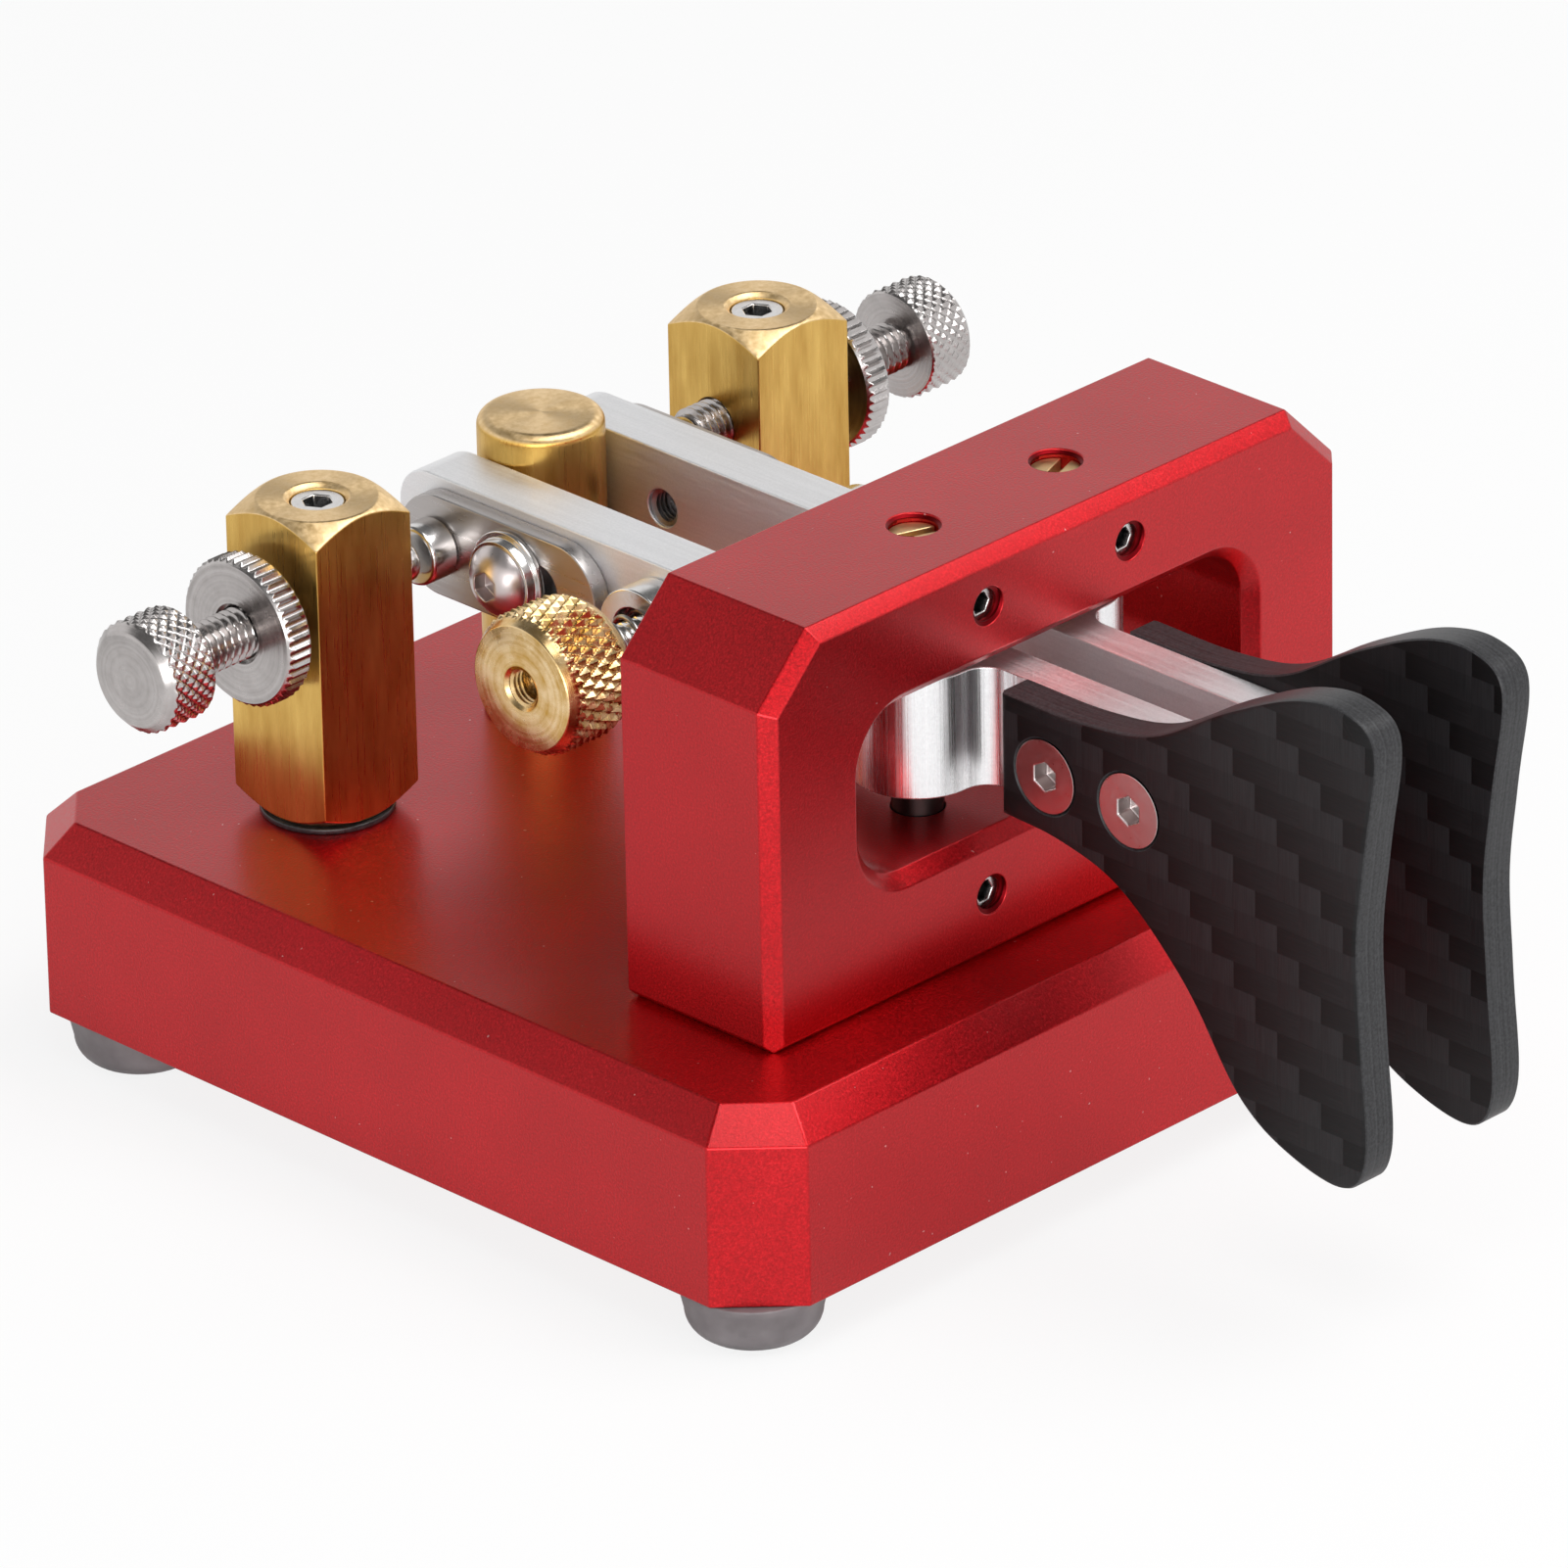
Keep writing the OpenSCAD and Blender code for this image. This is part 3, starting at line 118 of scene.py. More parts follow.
def dressed_copy(node, material, edge):
    """A copy of a node with its flat faces made whole and its edges broken by a small round."""
    bm = bmesh.new()
    bm.from_mesh(NODES[node].data)
    bmesh.ops.remove_doubles(bm, verts=bm.verts, dist=MERGE_DISTANCE * MM)
    bmesh.ops.dissolve_limit(bm, angle_limit=radians(FLAT_ANGLE), verts=bm.verts, edges=bm.edges)
    bm.normal_update()
    sharp = [e for e in bm.edges if e.is_manifold and e.calc_face_angle(0) > radians(EDGE_ANGLE)]
    bmesh.ops.bevel(
        bm, geom=sharp, offset=edge * MM, offset_type="OFFSET", segments=2, profile=0.5,
        affect="EDGES", clamp_overlap=False,
    )
    mesh = bpy.data.meshes.new(node + "_finished")
    bm.to_mesh(mesh)
    bm.free()
    shade(mesh, DRESSED_SHARP_ANGLE)
    obj = bpy.data.objects.new(node + "_finished", mesh)
    bpy.context.scene.collection.objects.link(obj)
    soften_normals(obj)
    return settle(obj, material, node)


def turned(name, rows, sides, side, y, z, relief=None, closed=False):
    """A piece turned round an axis along X. Rows are (distance from the middle plane, radius, relief share);
    a row of no radius is one point. The relief gives the depth at a distance and an angle."""
    points, rings = [], []
    for x, radius, share in rows:
        if radius == 0:
            rings.append([len(points)])
            points.append((side * x, y, z))
            continue
        ring = []
        for k in range(sides):
            angle = 2 * pi * k / sides
            depth = share * relief(x, angle) if share else 0
            ring.append(len(points))
            points.append((side * x, y + (radius - depth) * cos(angle), z + (radius - depth) * sin(angle)))
        rings.append(ring)
    faces = []
    pairs = list(zip(rings, rings[1:]))
    if closed:
        pairs.append((rings[-1], rings[0]))
    for a, b in pairs:
        for k in range(sides):
            n = (k + 1) % sides
            face = [a[k % len(a)], a[n % len(a)], b[n % len(b)], b[k % len(b)]]
            face = list(dict.fromkeys(face))
            faces.append(face if side > 0 else face[::-1])
    return object_from(name, points, faces)


def evenly(start, end, step):
    count = max(1, ceil((end - start) / step))
    return [start + (end - start) * i / count for i in range(count + 1)]


def wave(t):
    """A triangle wave: 1 at whole numbers and 0 half way between them."""
    return abs(2 * (t - floor(t)) - 1)


def diamond_knurl(teeth, pitch, depth):
    """Crossed grooves that leave pointed diamonds."""
    def relief(x, angle):
        turn = teeth * angle / (2 * pi)
        return depth * max(wave(turn + x / pitch), wave(turn - x / pitch))
    return relief


GROOVE_SLOPE = 1.5
THREAD_SLOPE, CREST_FLAT = 1.6, 0.25


def straight_knurl(teeth, depth):
    """Straight grooves with flat bottoms."""
    def relief(x, angle):
        return depth * min(1, GROOVE_SLOPE * wave(teeth * angle / (2 * pi)))
    return relief


def chamfered(relief, start, end, inner_slope, outer_slope):
    """A relief cut off by a slope at each end, given as (length along X, drop in radius)."""
    def cut(x, angle):
        inner_drop = inner_slope[1] * (1 - (x - start) / inner_slope[0])
        outer_drop = outer_slope[1] * (1 - (end - x) / outer_slope[0])
        return max(relief(x, angle), inner_drop, outer_drop)
    return cut


def thread(pitch, depth):
    """A right-hand thread with flat crests and roots."""
    def relief(x, angle):
        slope = THREAD_SLOPE * wave(x / pitch - angle / (2 * pi)) - CREST_FLAT
        return depth * min(1, max(0, slope))
    return relief


STEEP = 0.95
TUBE_SHARP_ANGLE = 60


def tube(name, path, radius, sides=12):
    """A closed round tube along points."""
    points, faces = [], []
    guide = Vector((0, 0, 1))
    for i, p in enumerate(path):
        ahead = path[min(i + 1, len(path) - 1)]
        behind = path[max(i - 1, 0)]
        direction = (ahead - behind).normalized()
        if abs(direction.dot(guide)) > STEEP:
            guide = Vector((0, 1, 0))
        across = (guide - direction * guide.dot(direction)).normalized()
        guide = across
        up = direction.cross(across)
        for k in range(sides):
            angle = 2 * pi * k / sides
            points.append(p + radius * (cos(angle) * across + sin(angle) * up))
    for i in range(len(path) - 1):
        for k in range(sides):
            n = (k + 1) % sides
            faces.append([i * sides + k, i * sides + n, (i + 1) * sides + n, (i + 1) * sides + k])
    faces.append(list(range(sides))[::-1])
    faces.append([(len(path) - 1) * sides + k for k in range(sides)])
    return object_from(name, points, faces, TUBE_SHARP_ANGLE)


# The ridge of a hole's thread: points in a turn, half widths of its foot and crest as shares of the pitch,
# and how far its foot is sunk into the wall
RIDGE_STEPS = 40
FOOT_SHARE, CREST_SHARE, FOOT_SINK = 0.36, 0.06, 0.02


def hole_thread(name, centre, axis, radius, pitch, depth, length, node, material):
    """The ridge of a thread on the wall of a hole, from its mouth inwards along the axis."""
    axis = Vector(axis)
    across = axis.orthogonal().normalized()
    up = axis.cross(across)
    count = int(length / pitch * RIDGE_STEPS)
    half, crest_half = FOOT_SHARE * pitch, CREST_SHARE * pitch
    foot = radius + FOOT_SINK
    points, faces = [], []
    for i in range(count + 1):
        along = half + (length - 2 * half) * i / count
        angle = 2 * pi * i / RIDGE_STEPS
        spoke = cos(angle) * across + sin(angle) * up
        fade = min(1, 3 * i / RIDGE_STEPS, 3 * (count - i) / RIDGE_STEPS)
        crest = radius - max(FOOT_SINK, depth * fade)
        for offset, r in ((-half, foot), (-crest_half, crest), (crest_half, crest), (half, foot)):
            points.append(centre + axis * (along + offset) + spoke * r)
    for i in range(count):
        for k in range(4):
            n = (k + 1) % 4
            faces.append([4 * i + k, 4 * (i + 1) + k, 4 * (i + 1) + n, 4 * i + n])
    faces.append([0, 1, 2, 3])
    faces.append([4 * count + k for k in (3, 2, 1, 0)])
    obj = object_from(name, points, faces)
    return settle(obj, material, node, shown_for=False)


# Material helpers
def new_material(name, settings):
    material = bpy.data.materials.new(name)
    material.use_nodes = True
    shader = material.node_tree.nodes["Principled BSDF"]
    for socket, value in settings.items():
        shader.inputs[socket].default_value = value
    return material, material.node_tree, shader


def add(tree, kind, **values):
    node = tree.nodes.new(kind)
    for name, value in values.items():
        setattr(node, name, value)
    return node


def coordinates(tree, scale=(1, 1, 1), offset=(0, 0, 0)):
    """Object coordinates, moved by the offset in metres and then scaled."""
    source = add(tree, "ShaderNodeTexCoord").outputs["Object"]
    shift = add(tree, "ShaderNodeVectorMath", operation="SUBTRACT")
    shift.inputs[1].default_value = offset
    grow = add(tree, "ShaderNodeVectorMath", operation="MULTIPLY")
    grow.inputs[1].default_value = scale
    tree.links.new(source, shift.inputs[0])
    tree.links.new(shift.outputs[0], grow.inputs[0])
    return grow.outputs[0]


def noise(tree, vector, detail=2.0, roughness=0.5):
    node = add(tree, "ShaderNodeTexNoise")
    node.inputs["Scale"].default_value = 1
    node.inputs["Detail"].default_value = detail
    node.inputs["Roughness"].default_value = roughness
    tree.links.new(vector, node.inputs["Vector"])
    return node.outputs["Fac"]


def line_noise(tree, value, detail=2.0):
    node = add(tree, "ShaderNodeTexNoise", noise_dimensions="1D")
    node.inputs["Scale"].default_value = 1
    node.inputs["Detail"].default_value = detail
    tree.links.new(value, node.inputs["W"])
    return node.outputs["Fac"]


def maths(tree, operation, a, b=None):
    node = add(tree, "ShaderNodeMath", operation=operation)
    for socket, value in zip(node.inputs, (a, b)):
        if value is None:
            continue
        if isinstance(value, (int, float)):
            socket.default_value = value
        else:
            tree.links.new(value, socket)
    return node.outputs[0]


def weighted(tree, a, weight_a, b, weight_b):
    """The sum of two values, each with its own weight."""
    return maths(tree, "ADD", maths(tree, "MULTIPLY", a, weight_a), maths(tree, "MULTIPLY", b, weight_b))


def spread(tree, value, low, high, out_low, out_high):
    """Maps a value from one range to another, held at the ends."""
    node = add(tree, "ShaderNodeMapRange")
    for name, number in zip(("From Min", "From Max", "To Min", "To Max"), (low, high, out_low, out_high)):
        node.inputs[name].default_value = number
    tree.links.new(value, node.inputs["Value"])
    return node.outputs["Result"]


def colours(tree, value, *stops):
    """A colour ramp with stops of (place, red, green, blue)."""
    node = add(tree, "ShaderNodeValToRGB")
    ramp = node.color_ramp
    while len(ramp.elements) < len(stops):
        ramp.elements.new(0.5)
    for element, (place, *rgb) in zip(ramp.elements, stops):
        element.position = place
        element.color = (*rgb, 1)
    tree.links.new(value, node.inputs["Fac"])
    return node.outputs["Color"]


def bump(tree, height, distance, strength):
    node = add(tree, "ShaderNodeBump")
    node.inputs["Distance"].default_value = distance
    node.inputs["Strength"].default_value = strength
    tree.links.new(height, node.inputs["Height"])
    return node.outputs["Normal"]


def mix(tree, factor, a, b):
    """Mixes two numbers or two colours that vary over the surface."""
    node = add(tree, "ShaderNodeMix", data_type="RGBA")
    tree.links.new(factor, node.inputs["Factor"])
    for socket, value in ((node.inputs[6], a), (node.inputs[7], b)):
        if isinstance(value, tuple):
            socket.default_value = (*value, 1)
        else:
            tree.links.new(value, socket)
    return node.outputs[2]


def face_share(tree, axis):
    """How far a face looks along an axis, from 0 to 1."""
    normal = add(tree, "ShaderNodeTexCoord").outputs["Normal"]
    parts = add(tree, "ShaderNodeSeparateXYZ")
    tree.links.new(normal, parts.inputs[0])
    return maths(tree, "ABSOLUTE", parts.outputs[axis])


# Materials
def red_anodised():
    material, tree, shader = new_material("red_anodised", {
        "Metallic": 0.96, "Coat Weight": 0.5, "Coat Roughness": 0.27, "Coat IOR": 1.5,
    })
    blasted = noise(tree, coordinates(tree, (5200, 5200, 5200)), 2, 0.6)
    clouds = noise(tree, coordinates(tree, (90, 90, 90)), 3, 0.5)
    specks = noise(tree, coordinates(tree, (2400, 2400, 2400)), 1, 0.4)
    tone = weighted(tree, blasted, 0.75, clouds, 0.25)
    red = colours(
        tree, tone, (0.3, 0.36, 0.001, 0.004), (0.55, 0.52, 0.003, 0.008), (0.75, 0.70, 0.01, 0.018)
    )
    dust = spread(tree, specks, 0.80, 0.82, 0, 0.5)
    tree.links.new(mix(tree, dust, red, (0.75, 0.5, 0.5)), shader.inputs["Base Color"])
    tree.links.new(spread(tree, blasted, 0.3, 0.7, 0.34, 0.5), shader.inputs["Roughness"])
    tree.links.new(bump(tree, blasted, 0.00004, 0.55), shader.inputs["Normal"])
    return material


def brushed_metal(name, colour_low, colour_high, rough_low, rough_high, scale, fine=0.000004):
    """A bare metal with streaks: the scale is small along the streaks."""
    material, tree, shader = new_material(name, {"Metallic": 1.0})
    streaks = noise(tree, coordinates(tree, scale), 4, 0.65)
    tone = noise(tree, coordinates(tree, tuple(0.05 * s for s in scale)), 3, 0.6)
    colour = colours(tree, tone, (0.3, *colour_low), (0.7, *colour_high))
    tree.links.new(colour, shader.inputs["Base Color"])
    tree.links.new(spread(tree, streaks, 0.3, 0.7, rough_low, rough_high), shader.inputs["Roughness"])
    tree.links.new(bump(tree, streaks, fine, 0.6), shader.inputs["Normal"])
    return material


def turned_metal(name, centre, axis, colour_low, colour_high, rough_low, rough_high, ring_step, ring_depth):
    """A bare metal with turning marks: rings on its faces and lines round its sides."""
    material, tree, shader = new_material(name, {"Metallic": 1.0})
    place = coordinates(tree, (1, 1, 1), tuple(c * MM for c in centre))
    parts = add(tree, "ShaderNodeSeparateXYZ")
    tree.links.new(place, parts.inputs[0])
    across = [parts.outputs[k] for k in "XYZ" if k != axis]
    radius = maths(tree, "SQRT", maths(tree, "ADD", *[maths(tree, "MULTIPLY", a, a) for a in across]))
    per_ring = 1 / (ring_step * MM)
    rings = line_noise(tree, maths(tree, "MULTIPLY", radius, per_ring), 3)
    lines = line_noise(tree, maths(tree, "MULTIPLY", parts.outputs[axis], per_ring * 3), 2)
    marks = maths(tree, "ADD", rings, maths(tree, "MULTIPLY", lines, 0.35))
    tone = noise(tree, coordinates(tree, (700, 700, 700)), 4, 0.6)
    worn = weighted(tree, tone, 0.6, rings, 0.4)
    colour = colours(tree, worn, (0.35, *colour_low), (0.62, *colour_high))
    tree.links.new(colour, shader.inputs["Base Color"])
    tree.links.new(spread(tree, tone, 0.25, 0.75, rough_low, rough_high), shader.inputs["Roughness"])
    tree.links.new(bump(tree, marks, ring_depth * MM, 0.8), shader.inputs["Normal"])
    return material


# Depths below a socket's face over which painted shade darkens the steel
SOCKET_SHADE_DEPTHS = (0.08, 0.5)


def socketed_steel(name, axis, face, inward, socket_shade_tone):
    """Bright steel with painted shade below a face, which darkens the inside of a hexagon socket."""
    material, tree, shader = new_material(name, {"Metallic": 1.0})
    parts = add(tree, "ShaderNodeSeparateXYZ")
    tree.links.new(coordinates(tree), parts.inputs[0])
    start, end = ((face + inward * depth) * MM for depth in SOCKET_SHADE_DEPTHS)
    # Painted shade: the steel darkens with depth below the face, inside the socket
    socket_shade = spread(tree, parts.outputs[axis], start, end, 0, 1)
    tone = noise(tree, coordinates(tree, EVEN_GRAIN), 3, 0.6)
    bright = colours(tree, tone, (0.3, *BRIGHT_DARK), (0.7, *BRIGHT_LIGHT))
    tree.links.new(mix(tree, socket_shade, bright, (socket_shade_tone, socket_shade_tone, socket_shade_tone)), shader.inputs["Base Color"])
    tree.links.new(spread(tree, tone, 0.3, 0.7, 0.18, 0.28), shader.inputs["Roughness"])
    return material


def post_brass():
    """Brass with upright brushing on its sides, which blurs reflections sideways, and a rougher top whose
    paler colour is painted light from above.
    """
    material, tree, shader = new_material("brushed_brass", {"Metallic": 1.0, "Anisotropic": 0.75})
    around = add(tree, "ShaderNodeTangent", direction_type="RADIAL", axis="Z")
    tree.links.new(around.outputs["Tangent"], shader.inputs["Tangent"])
    streaks = noise(tree, coordinates(tree, (6000, 6000, 160)), 3, 0.6)
    tone = noise(tree, coordinates(tree, (500, 500, 120)), 3, 0.6)
    grain = noise(tree, coordinates(tree, (1800, 1800, 1800)), 3, 0.6)
    top = spread(tree, face_share(tree, "Z"), 0.35, 0.55, 0, 1)
    side_colour = colours(tree, tone, (0.3, *BRASS_DARK), (0.7, *BRASS_LIGHT))
    # Painted light: the top's colour is paler than the sides', as light from above falls on it; its rougher
    # grain is real
    lit_top_colour = colours(tree, grain, (0.3, *PALE_BRASS_DARK), (0.7, *PALE_BRASS_LIGHT))
    tree.links.new(mix(tree, top, side_colour, lit_top_colour), shader.inputs["Base Color"])
    side_rough = spread(tree, streaks, 0.3, 0.7, 0.25, 0.35)
    top_rough = spread(tree, grain, 0.3, 0.7, 0.3, 0.44)
    tree.links.new(mix(tree, top, side_rough, top_rough), shader.inputs["Roughness"])
    tree.links.new(bump(tree, mix(tree, top, streaks, grain), 0.000002, 0.6), shader.inputs["Normal"])
    return material


# The milled stretch of a lever: its middle and half length along Y, its start along X, and how both fade
MILLED_Y, MILLED_REACH, MILLED_X = PIVOT_Y - 1.5, 6.6, 5
REACH_FADE, X_FADE = 0.6, 0.2


def lever_aluminium():
    """Satin aluminium with lines along the arms, and with upright milling marks round the bright boss."""
    material, tree, shader = new_material("satin_aluminium", {"Metallic": 1.0})
    parts = add(tree, "ShaderNodeSeparateXYZ")
    tree.links.new(coordinates(tree, offset=(0, MILLED_Y * MM, 0)), parts.inputs[0])
    along = maths(tree, "ABSOLUTE", parts.outputs["Y"])
    near_boss = spread(tree, along, MILLED_REACH * MM, (MILLED_REACH + REACH_FADE) * MM, 1, 0)
    upright_face = spread(tree, face_share(tree, "Z"), 0.3, 0.7, 1, 0)
    sideways = maths(tree, "ABSOLUTE", parts.outputs["X"])
    outside = spread(tree, sideways, MILLED_X * MM, (MILLED_X + X_FADE) * MM, 0, 1)
    boss = maths(tree, "MULTIPLY", maths(tree, "MULTIPLY", near_boss, upright_face), outside)
    lengthwise = noise(tree, coordinates(tree, (3500, 90, 3500)), 4, 0.65)
    grain = noise(tree, coordinates(tree, (6000, 6000, 6000)), 2, 0.6)
    satin = weighted(tree, lengthwise, 0.5, grain, 0.5)
    milled = noise(tree, coordinates(tree, (4600, 4600, 30)), 3, 0.6)
    silver = colours(tree, satin, (0.35, 0.82, 0.82, 0.83), (0.65, 0.92, 0.92, 0.93))
    tree.links.new(silver, shader.inputs["Base Color"])
    rough_arm = spread(tree, satin, 0.35, 0.65, 0.44, 0.58)
    rough_boss = spread(tree, milled, 0.3, 0.7, 0.22, 0.34)
    tree.links.new(mix(tree, boss, rough_arm, rough_boss), shader.inputs["Roughness"])
    height = mix(tree, boss, maths(tree, "MULTIPLY", satin, 0.5), maths(tree, "MULTIPLY", milled, 2.4))
    tree.links.new(bump(tree, height, 0.000012, 0.6), shader.inputs["Normal"])
    return material


TOW_WIDTH, TWILL_REPEAT, LAYER_THICKNESS = 2.1, 4, 0.25


def carbon_twill():
    """Two by two twill under clear resin, whose rows darken tow by tow in painted shade standing for the
    light on the curved tows, with the cut layers on the edges.
    """
    material, tree, shader = new_material("carbon_twill", {
        "Coat Weight": 0.06, "Coat Roughness": 0.3, "IOR": 1.5,
    })
    parts = add(tree, "ShaderNodeSeparateXYZ")
    tree.links.new(coordinates(tree), parts.inputs[0])
    u = maths(tree, "MULTIPLY", parts.outputs["Y"], 1 / (TOW_WIDTH * MM))
    v = maths(tree, "MULTIPLY", parts.outputs["Z"], 1 / (TOW_WIDTH * MM))
    row = maths(tree, "FLOOR", v)
    phase = maths(tree, "FLOORED_MODULO", maths(tree, "SUBTRACT", u, row), TWILL_REPEAT)
    warp = maths(tree, "LESS_THAN", phase, TWILL_REPEAT / 2)
    round_u = maths(tree, "SINE", maths(tree, "MULTIPLY", maths(tree, "FRACT", u), pi))
    round_v = maths(tree, "SINE", maths(tree, "MULTIPLY", maths(tree, "FRACT", v), pi))
    fibres_u = noise(tree, coordinates(tree, (9000, 9000, 300)), 2, 0.6)
    fibres_v = noise(tree, coordinates(tree, (9000, 300, 9000)), 2, 0.6)
    swell = mix(tree, warp, round_v, round_u)
    fibres = mix(tree, warp, fibres_v, fibres_u)
    # Painted shade: each tow darkens along its row, standing in for how light falls on the curved floats
    fade = spread(tree, phase, 0, TWILL_REPEAT, 0, 1)
    tow_shade = colours(tree, fade, (0, 0.019, 0.018, 0.0194), (1, 0.004, 0.0038, 0.004))
    face = spread(tree, face_share(tree, "X"), 0.85, 0.95, 0, 1)
    layers = line_noise(tree, maths(tree, "MULTIPLY", parts.outputs["X"], 1 / (LAYER_THICKNESS * MM)), 1)
    sanded = noise(tree, coordinates(tree, (5000, 5000, 5000)), 3, 0.6)
    mottle = weighted(tree, layers, 0.35, sanded, 0.65)
    cut = colours(tree, mottle, (0.35, 0.016, 0.016, 0.017), (0.65, 0.045, 0.045, 0.048))
    grain = colours(tree, fibres, (0.3, 0.75, 0.75, 0.75), (0.7, 1.2, 1.2, 1.2))
    weave = add(tree, "ShaderNodeMix", data_type="RGBA", blend_type="MULTIPLY")
    weave.inputs["Factor"].default_value = 1
    tree.links.new(tow_shade, weave.inputs[6])
    tree.links.new(grain, weave.inputs[7])
    tree.links.new(mix(tree, face, cut, weave.outputs[2]), shader.inputs["Base Color"])
    rough_face = spread(tree, warp, 0, 1, 0.42, 0.34)
    tree.links.new(mix(tree, face, (0.42, 0.42, 0.42), rough_face), shader.inputs["Roughness"])
    tree.links.new(spread(tree, face, 0, 1, 0.2, 0.14), shader.inputs["Specular IOR Level"])
    height = weighted(tree, swell, face, fibres, 0.15)
    tree.links.new(bump(tree, height, 0.00003, 0.35), shader.inputs["Normal"])
    return material


def grey_rubber():
    material, tree, shader = new_material("grey_rubber", {
        "Roughness": 0.5, "Subsurface Weight": 0.5, "Subsurface Radius": (0.003, 0.003, 0.003),
        "Subsurface Scale": 1.0, "Coat Weight": 0.15, "Coat Roughness": 0.35, "Transmission Weight": 0.3,
    })
    cloudy = noise(tree, coordinates(tree, (350, 350, 350)), 3, 0.5)
    grain = noise(tree, coordinates(tree, (4000, 4000, 4000)), 2, 0.5)
    grey = colours(tree, cloudy, (0.3, 0.17, 0.15, 0.155), (0.7, 0.28, 0.25, 0.26))
    tree.links.new(grey, shader.inputs["Base Color"])
    tree.links.new(bump(tree, grain, 0.00002, 0.3), shader.inputs["Normal"])
    return material


def moulded_plastic(name, dark, light, rough):
    material, tree, shader = new_material(name, {"IOR": 1.5})
    grain = noise(tree, coordinates(tree, (3000, 3000, 3000)), 3, 0.5)
    tree.links.new(colours(tree, grain, (0.3, *dark), (0.7, *light)), shader.inputs["Base Color"])
    tree.links.new(spread(tree, grain, 0.3, 0.7, rough - 0.08, rough + 0.08), shader.inputs["Roughness"])
    tree.links.new(bump(tree, grain, 0.00002, 0.25), shader.inputs["Normal"])
    return material


BRASS_DARK, BRASS_LIGHT = (0.55, 0.315, 0.070), (0.79, 0.515, 0.145)
STEEL_DARK, STEEL_LIGHT = (0.40, 0.375, 0.365), (0.52, 0.49, 0.48)
PALE_BRASS_DARK, PALE_BRASS_LIGHT = (0.65, 0.435, 0.19), (0.86, 0.64, 0.36)
BRIGHT_DARK, BRIGHT_LIGHT = (0.60, 0.58, 0.57), (0.74, 0.73, 0.72)
BLACKENED_DARK, BLACKENED_LIGHT = (0.025, 0.025, 0.025), (0.06, 0.058, 0.056)
WARM_DARK, WARM_LIGHT = (0.52, 0.46, 0.45), (0.66, 0.60, 0.59)
EVEN_GRAIN, FINE_GRAIN = (1500, 1500, 1500), (2500, 2500, 2500)

RED = red_anodised()
CARBON = carbon_twill()
RUBBER = grey_rubber()
BLACK_NYLON = moulded_plastic("black_nylon", (0.012, 0.012, 0.013), (0.03, 0.03, 0.032), 0.35)
BLACK_PLASTIC = moulded_plastic("black_plastic", (0.015, 0.015, 0.016), (0.035, 0.035, 0.037), 0.5)
WIRE_SLEEVE = moulded_plastic("wire_sleeve", (0.03, 0.03, 0.032), (0.06, 0.06, 0.063), 0.4)
POST_BRASS = post_brass()
PIVOT_BRASS = brushed_metal("pivot_brass", PALE_BRASS_DARK, PALE_BRASS_LIGHT, 0.34, 0.5, EVEN_GRAIN)
# The sockets of the lock screws and the set screws get painted shade inside
LOCK_STEEL = socketed_steel("lock_screw_steel", "Y", box_mm("pivot_lock_screws")[0].y, 1, 0.12)
SET_STEEL = socketed_steel("set_screw_steel", "Z", box_mm("post_set_screws")[1].z, -1, 0.3)
ALUMINIUM = lever_aluminium()
# Darker copies of the red anodising and the lever's aluminium for the threads in open holes: painted shade
# inside the holes
SHADED_TAPPED_RED = brushed_metal("shaded_tapped_red", (0.11, 0.002, 0.004), (0.2, 0.004, 0.007), 0.35, 0.5, FINE_GRAIN)
SHADED_TAPPED_ALUMINIUM = brushed_metal(
    "shaded_tapped_aluminium", (0.30, 0.29, 0.29), (0.44, 0.43, 0.43), 0.3, 0.42, FINE_GRAIN
)
STEEL = brushed_metal("plain_steel", BRIGHT_DARK, BRIGHT_LIGHT, 0.17, 0.24, FINE_GRAIN, 0.0000006)
PLATE_STEEL = brushed_metal("plate_steel", STEEL_DARK, STEEL_LIGHT, 0.24, 0.38, (3000, 160, 3000), 0.000006)
CONTACT = brushed_metal(
    "polished_contact", BRIGHT_DARK, BRIGHT_LIGHT, 0.15, 0.24, (1200, 1200, 1200), 0.000001
)
BLACKENED = brushed_metal("blackened_steel", BLACKENED_DARK, BLACKENED_LIGHT, 0.3, 0.45, EVEN_GRAIN)
HEAD_STEEL = brushed_metal("satin_steel", WARM_DARK, WARM_LIGHT, 0.27, 0.36, FINE_GRAIN, 0.000002)
MUSIC_WIRE = brushed_metal("music_wire", (0.30, 0.29, 0.28), (0.42, 0.41, 0.40), 0.22, 0.34, (900, 900, 900))


# Pieces that keep the shape of their nodes: the node, its material and the round on its edges
DRESSED = [
    ("base_plate", RED, 0.14), ("pivot_frame", RED, 0.12), ("rubber_feet", RUBBER, 0.1),
    ("frame_screws", STEEL, 0.12), ("pivot_lock_screws", LOCK_STEEL, 0.08),
    ("upper_pivot_screws", PIVOT_BRASS, 0.1), ("lower_pivot_screws", BLACKENED, 0.08),
    ("post_insulating_washers", BLACK_NYLON, 0.1), ("post_insulating_bushes", BLACK_NYLON, 0.1),
    ("post_screws", STEEL, 0.12), ("solder_lugs", STEEL, 0.08), ("post_set_screws", SET_STEEL, 0.12),
    ("stop_post_screw", STEEL, 0.12), ("tension_post", STEEL, 0.12), ("tension_post_screw", STEEL, 0.12),
    ("jack_socket", BLACK_PLASTIC, 0.08), ("jack_nut", STEEL, 0.1),
]
